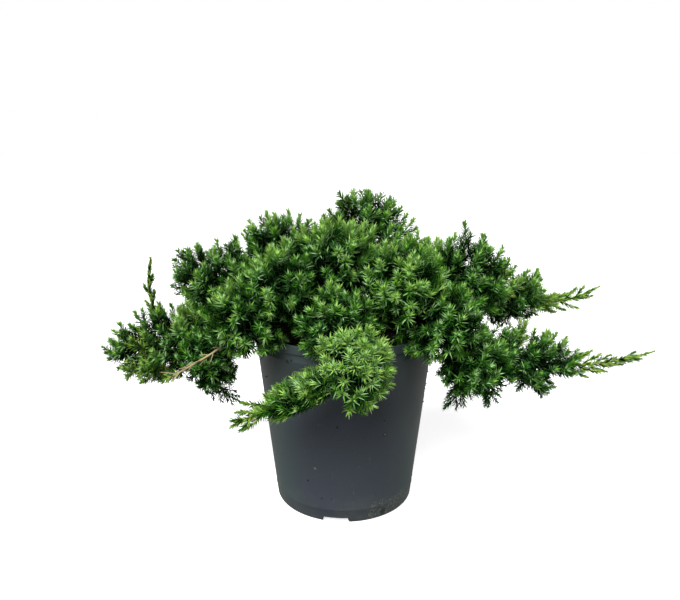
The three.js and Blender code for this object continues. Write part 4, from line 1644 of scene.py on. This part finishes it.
        # The pale band has a lit copy and a painted shaded copy, picked by the needle's tone with its painted
        # shade.
        band = np.where(value > BAND_TONE, BAND_HIGH, BAND_LOW)
        upper = np.where(rng.random(count) < BAND_CHANCE - BAND_LESS * youth, band, row)
        slots = np.where(NEEDLE_UPPER[None], upper[:, None], row[:, None])
        # Each needle's foot face takes the next darker row, a fixed row for lime, as painted shade where it
        # meets its shoot.
        darker = np.where(row == DRY, DRY, np.where(row == LIME, LIME_FOOT, np.maximum(row - 1, 0)))
        return np.where(NEEDLE_FOOT[None] & (upper == row)[:, None], darker[:, None], slots)

    def grow_twig(
        self, path: Path, root: float, tip: float = TWIG_TIP, sides: int = 3, rings: int = 2,
        woody: float = 0.0, finish: int = GREEN,
    ) -> None:
        """Makes a tapering twig along a line.

        Args:
            path: the twig's line.
            root: its radius at the start.
            tip: its radius at the end.
            sides: corners round it.
            rings: steps along it.
            woody: the share of its length that is brown.
            finish: the slot of the rest.
        """
        shares = np.linspace(0, 1, rings + 1)
        points, _, side, lift = path.frames(shares)
        turn = np.arange(sides) * FULL_TURN / sides
        radius = (root + (tip - root) * shares)[:, None, None]
        ring = side[:, None] * np.cos(turn)[None, :, None] + lift[:, None] * np.sin(turn)[None, :, None]
        corners = (points[:, None] + radius * ring).reshape(-1, 3)
        here = np.arange(rings)[:, None] * sides + np.arange(sides)[None]
        following = np.arange(rings)[:, None] * sides + (np.arange(sides)[None] + 1) % sides
        walls = np.stack([
            np.stack([here, following, following + sides], axis=-1),
            np.stack([here, following + sides, here + sides], axis=-1),
        ], axis=1).reshape(-1, 3)
        fan = np.arange(1, sides - 1)
        foot_cap = np.stack([np.zeros_like(fan), fan + 1, fan], axis=-1)
        tip_cap = np.stack([np.zeros_like(fan), fan, fan + 1], axis=-1) + rings * sides
        along = np.concatenate((np.repeat(shares[:-1], 2 * sides), np.zeros(len(fan)), np.ones(len(fan))))
        slots = np.where(along < woody, WOODY, finish)
        self.twigs.add(corners, np.vstack([walls, foot_cap, tip_cap]), slots)

    def side_path(
        self, path: Path, share: float, turn: float, length: float, spread: float, lift: float = 1.0
    ) -> Path:
        """The line of a shoot that leaves another one.

        Args:
            path: the shoot that it leaves.
            share: where, as a share of that shoot's length.
            turn: the angle round that shoot.
            length: its own length.
            spread: its angle from that shoot, in degrees.
            lift: how strongly its end turns upwards.

        Returns:
            The line.
        """
        point, tangent, across, above = (row[0] for row in path.frames(np.array([share])))
        outward = across * math.cos(turn) + above * math.sin(turn)
        lean = math.radians(spread)
        first = tangent * math.cos(lean) + outward * math.sin(lean)
        last = unit(first + SIDE_ONWARD * tangent + lift * UP)
        bend = point + first * length / 2
        return Path.bend(point, bend, bend + last * length / 2)

    def fits(self, path: Path, free: bool = False) -> bool:
        """Whether a shoot ends off the pot and the soil, and inside the mass's space unless it is free."""
        inside = free or self.mass.holds(path.points[-1:])[0]
        return bool(inside and self.is_clear(path.points[ROOT_POINTS:]).all())

    def grow_spray(self, path: Path, tone: float, lime: float, lift: float) -> None:
        """Grows a leading spray with its inner needles, painted darker as shade, and its side shoots.

        Args:
            path: the spray's line.
            tone: how light it is, from 0 to 1.
            lime: the share of its needles that are yellow green.
            lift: how strongly its side shoots turn upwards.
        """
        rng = self.rng
        leafy = min(self.leafy, path.length * self.leafy_share)
        first = 1 - leafy / path.length
        inner = Path(path.at(np.linspace(self.inner_first, first + self.inner_first, 8)))
        self.grow_needles(path, SPRAY, first, tone, lime)
        self.grow_needles(inner, INNER, 0.0, tone - self.inner_shade)
        self.grow_twig(path, *self.spray_twig, rings=4, woody=first)
        turn = rng.uniform(0, FULL_TURN)
        for number in range(self.side_shoots):
            part = number / self.side_shoots
            along = self.side_first + self.side_range * part + rng.uniform(*self.side_jitter)
            length = rng.uniform(*self.side_length) * (1 - self.side_shorter * part)
            turn += GOLDEN_TURN + rng.normal(0, self.side_turn)
            spread = rng.uniform(*self.side_spread)
            shoot = self.side_path(path, first + (1 - first) * along, turn, length, spread, lift)
            if self.fits(shoot):
                self.grow_needles(shoot, SIDE, self.side_bare, tone + rng.normal(0, self.side_tone), lime)
                self.grow_twig(shoot, SIDE.twig)

    def grow_along(self, path: Path, first: float, last: float, free: bool) -> None:
        """Grows short shoots along a bough or a mass's stem, painted darker as shade.

        Args:
            path: the line that they leave.
            first: the share of it where they start.
            last: the share of it where they end.
            free: whether they may leave the mass's space.
        """
        rng = self.rng
        count = max(2, round(path.length * (last - first) / self.short_gap))
        turn = rng.uniform(0, FULL_TURN)
        for number in range(count):
            share = first + (last - first) * (number + 0.5) / count
            turn += GOLDEN_TURN + rng.normal(0, self.short_turn)
            length = rng.uniform(*self.short_length)
            shoot = self.side_path(path, share, turn, length, rng.uniform(*self.short_spread))
            if self.fits(shoot, free):
                tone = self.mass.tint.tone - self.short_shade + rng.normal(0, self.short_tone)
                self.grow_needles(shoot, SHORT, self.short_bare, tone, free=free)
                self.grow_twig(shoot, SIDE.twig, woody=self.short_woody)

    def grow_leader(self, leader: Leader) -> None:
        """Grows a shoot that goes on past the mass, by its habit.

        Args:
            leader: the shoot's sizes.
        """
        rng, habit = self.rng, habit_of(leader)
        path = self.mass.leader_path(leader)
        self.grow_needles(path, habit.kind, habit.bare, habit.tone, habit.lime, free=True)
        self.grow_twig(path, habit.kind.twig, habit.twig_tip, sides=4, rings=6, woody=habit.woody)
        count = habit.count or round(leader.length / habit.gap)
        lime = habit.lime * habit.side_lime
        for number in range(count):
            share = habit.side_first + habit.side_range * number / count
            length = rng.uniform(*habit.length)
            if habit.taper_from:
                length *= habit.taper_from - share
            turn = number * math.pi + rng.normal(0, habit.side_turn)
            spread = rng.uniform(*habit.side_spread)
            shoot = self.side_path(path, share, turn, length, spread, habit.side_lift)
            self.grow_needles(shoot, habit.side_kind, habit.side_bare, habit.tone, lime, free=True)
            self.grow_twig(shoot, habit.side_kind.twig)

    def grow_dead_twig(self, dead: DeadTwig) -> None:
        """Grows the dead twig out of the mass's stem, with lime needles at its end.

        Args:
            dead: the twig's sizes.
        """
        rng = self.rng
        leaves = self.mass.stem.at(dead.leaves_at)[0]
        path = Path.through([leaves, *(np.array(knot) for knot in dead.knots)])
        self.grow_twig(path, *dead.radii, sides=5, rings=20, finish=TAN)
        for number in range(dead.stubs):
            share, turn = dead.stub_first + dead.stub_gap * number, dead.stub_turn * number
            length, spread = rng.uniform(*dead.stub_length), rng.uniform(*dead.stub_spread)
            stub = self.side_path(path, share, turn, length, spread, lift=0.0)
            self.grow_twig(stub, *dead.stub_radii, sides=4, rings=3, finish=TAN)
        end = self.side_path(path, dead.end_at, dead.end_turn, dead.end_length, dead.end_spread, lift=0.0)
        self.grow_twig(end, dead.end_radius, sides=4, rings=3, finish=TAN)
        for line, first in zip((path, end), dead.needles_from):
            self.grow_needles(line, SHORT, first, dead.tone, dead.lime, free=True)

    def grow_sprays(self) -> None:
        """Grows the leading sprays, evenly spread, where the neighbours and the pot leave them room."""
        mass, rng = self.mass, self.rng
        spacing = self.spacing_share * sum(mass.radii) / 3
        tips: list[Array] = []
        for number in range(self.tries):
            if len(tips) >= self.sprays:
                break
            path, room = mass.spray(number)
            tip = path.points[-1]
            crowded = room < self.least_room or any(np.linalg.norm(tip - other) < spacing for other in tips)
            if crowded or path.length < self.least_spray or not self.is_clear(tip[None])[0]:
                continue
            tips.append(tip)
            height = (tip - mass.middle)[2] / mass.radii[2]
            # Painted light: higher sprays and sprays with room are lighter, low and crowded ones darker.
            tone = mass.tint.tone + self.painted_top_light * height + self.painted_open_light * min(room, 1)
            tone = float(np.clip(tone + rng.normal(0, self.spray_tone), *self.tone_range))
            lime = self.lime_share if rng.random() < mass.lime else 0.0
            self.grow_spray(path, tone, lime, max(self.least_lift, self.lift + self.high_lift * height))

    def grow(self) -> None:
        """Grows the mass's stem, what clothes it and the bough, its leaders and its sprays."""
        mass = self.mass
        self.grow_twig(mass.stem, *self.stem_twig, sides=6, rings=10, woody=self.stem_woody)
        self.grow_along(mass.stem, *self.stem_shoots, free=False)
        self.grow_along(mass.bough, *self.bough_shoots, free=True)
        # The clothing needles of bough and stem are painted darker, as shade.
        bough_tone, stem_tone = mass.tint.tone - self.bough_shade, mass.tint.tone - self.stem_shade
        self.grow_needles(mass.bough, CLOTHING, self.bough_clothed, bough_tone, free=True, dry=mass.dry)
        self.grow_needles(mass.stem, CLOTHING, 0.0, stem_tone)
        for leader in mass.leaders:
            self.grow_leader(leader)
        if mass.dead_twig:
            self.grow_dead_twig(mass.dead_twig)
        self.grow_sprays()

    def build(self) -> list[Piece]:
        """Makes the mass's needles and twigs.

        Returns:
            The two pieces.
        """
        self.grow()
        return [
            self.needles.piece(f"{self.mass.name}_needles", NEEDLE_FINISHES, False),
            self.twigs.piece(f"{self.mass.name}_twigs", TWIG_FINISHES, True),
        ]

    def dress(self, pieces: Sequence[Piece]) -> None:
        """Puts the needles and twigs in the mass's place in the part."""
        for piece, slot in zip(pieces, (self.mass.tint.slot, "bark")):
            settle(piece, (self.mass.name,))


# The studio


@dataclass
class Studio:
    """The photograph's viewpoint, a pale floor and soft light, in metres."""

    aim: Triple = (-0.00404, 0.0, 0.18716)
    distance: float = 0.59317
    elevation: float = 12.85
    lens: float = 36 * 650 / 680
    floor_radius: float = 40.0
    floor_glow: float = 0.7
    sun: float = 4.8
    sun_width: float = 44.0
    sun_from: Triple = (-0.4, -0.95, 1.15)
    ambient: float = 0.07
    mirrored: float = 0.45
    lamps: tuple[tuple[str, Triple, float, float], ...] = (
        ("right_light", (1.2, -0.5, 0.7), 0.5, 4.0),
        ("back_light", (-0.5, 1.5, 0.9), 0.8, 5.0),
    )

    def build_camera(self) -> None:
        """Places the camera and makes it the scene's."""
        rise = math.radians(self.elevation)
        data = bpy.data.cameras.new("viewpoint")
        data.lens = self.lens
        data.clip_start = 0.01
        camera = bpy.data.objects.new("viewpoint", data)
        camera.location = Vector(self.aim) + Vector((0, -math.cos(rise), math.sin(rise))) * self.distance
        camera.rotation_euler = (math.pi / 2 - rise, 0, 0)
        bpy.context.scene.collection.objects.link(camera)
        bpy.context.scene.camera = camera

    def build_floor(self) -> None:
        """Lays the pale floor."""
        bm = bmesh.new()
        bmesh.ops.create_circle(bm, cap_ends=True, segments=96, radius=self.floor_radius)
        floor = piece_from_bmesh("studio_floor", bm, smooth=False)
        paper = Finish("floor_paper", (254, 254, 254), roughness=0.9, specular=0.0).material()
        shader = paper.node_tree.nodes["Principled BSDF"]
        shader.inputs["Emission Color"].default_value = (1.0, 1.0, 1.0, 1.0)
        shader.inputs["Emission Strength"].default_value = self.floor_glow
        floor.data.materials.append(paper)
        floor.visible_diffuse = False
        floor.visible_glossy = False

    def build_light(self, name: str, place: Triple, size: float, power: float) -> None:
        """Hangs one soft square light that faces the plant.

        Args:
            name: the light's name.
            place: where it hangs.
            size: its side.
            power: its power in watts.
        """
        data = bpy.data.lights.new(name, "AREA")
        data.size = size
        data.energy = power
        light = bpy.data.objects.new(name, data)
        light.location = place
        light.rotation_euler = (Vector(self.aim) - Vector(place)).to_track_quat("-Z", "Y").to_euler()
        bpy.context.scene.collection.objects.link(light)

    def build_sun(self) -> None:
        """Sends soft light over plant and floor from above the left front."""
        data = bpy.data.lights.new("soft_sun", "SUN")
        data.energy = self.sun
        data.angle = math.radians(self.sun_width)
        light = bpy.data.objects.new("soft_sun", data)
        light.rotation_euler = Vector(self.sun_from).to_track_quat("Z", "Y").to_euler()
        bpy.context.scene.collection.objects.link(light)

    def build_surround(self) -> None:
        """Makes the surround white to the camera, bright in reflections and dimmer as a light."""
        world = bpy.data.worlds.new("white_surround")
        world.use_nodes = True
        bpy.context.scene.world = world
        graph = Graph(world.node_tree)
        background = world.node_tree.nodes["Background"]
        background.inputs["Color"].default_value = (1.0, 1.0, 1.0, 1.0)
        ray = graph.node("LightPath")
        seen = graph.times(ray.outputs["Is Camera Ray"], 1.0 - self.ambient)
        mirrored = graph.times(ray.outputs["Is Glossy Ray"], self.mirrored - self.ambient)
        graph.feed(background.inputs["Strength"], graph.plus(self.ambient, graph.plus(seen, mirrored)))

    def build(self) -> None:
        """Builds the camera, floor, lights and surround."""
        self.build_camera()
        self.build_floor()
        self.build_sun()
        for lamp in self.lamps:
            self.build_light(*lamp)
        self.build_surround()
        bpy.context.scene.view_settings.view_transform = "Standard"


def settle(piece: Piece, nodes: Sequence[str]) -> None:
    """Puts a piece in the place of the CAD nodes that it stands for.

    Args:
        piece: the piece.
        nodes: the CAD nodes that it replaces.
    """
    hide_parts(*nodes)
    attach(piece, "root")
    log.info("%s: %d triangles", piece.name, sum(len(face.vertices) - 2 for face in piece.data.polygons))


def main() -> None:
    """Builds and dresses every piece."""
    logging.basicConfig(level=logging.INFO, format="%(message)s")
    Studio().build()
    Effect.build_all()
    pot = NurseryPot()
    pot.dress(pot.build())
    soil = PottingSoil(pot)
    soil.dress([soil.build_fill(), soil.build_crumbs()])
    wood = WoodyFrame(pot)
    wood.dress(wood.build_stem(), "main_stem")
    for index, mass in enumerate(MASSES):
        mass.place(index)
    for mass in MASSES:
        mass.part_from(MASSES)
        mass.carry_on(wood.bough_path(mass))
        wood.dress(wood.build_bough(mass), f"bough_{mass.name}")
        foliage = Foliage(mass, pot, soil.top)
        foliage.dress(foliage.build())


if __name__ == "__main__":
    main()
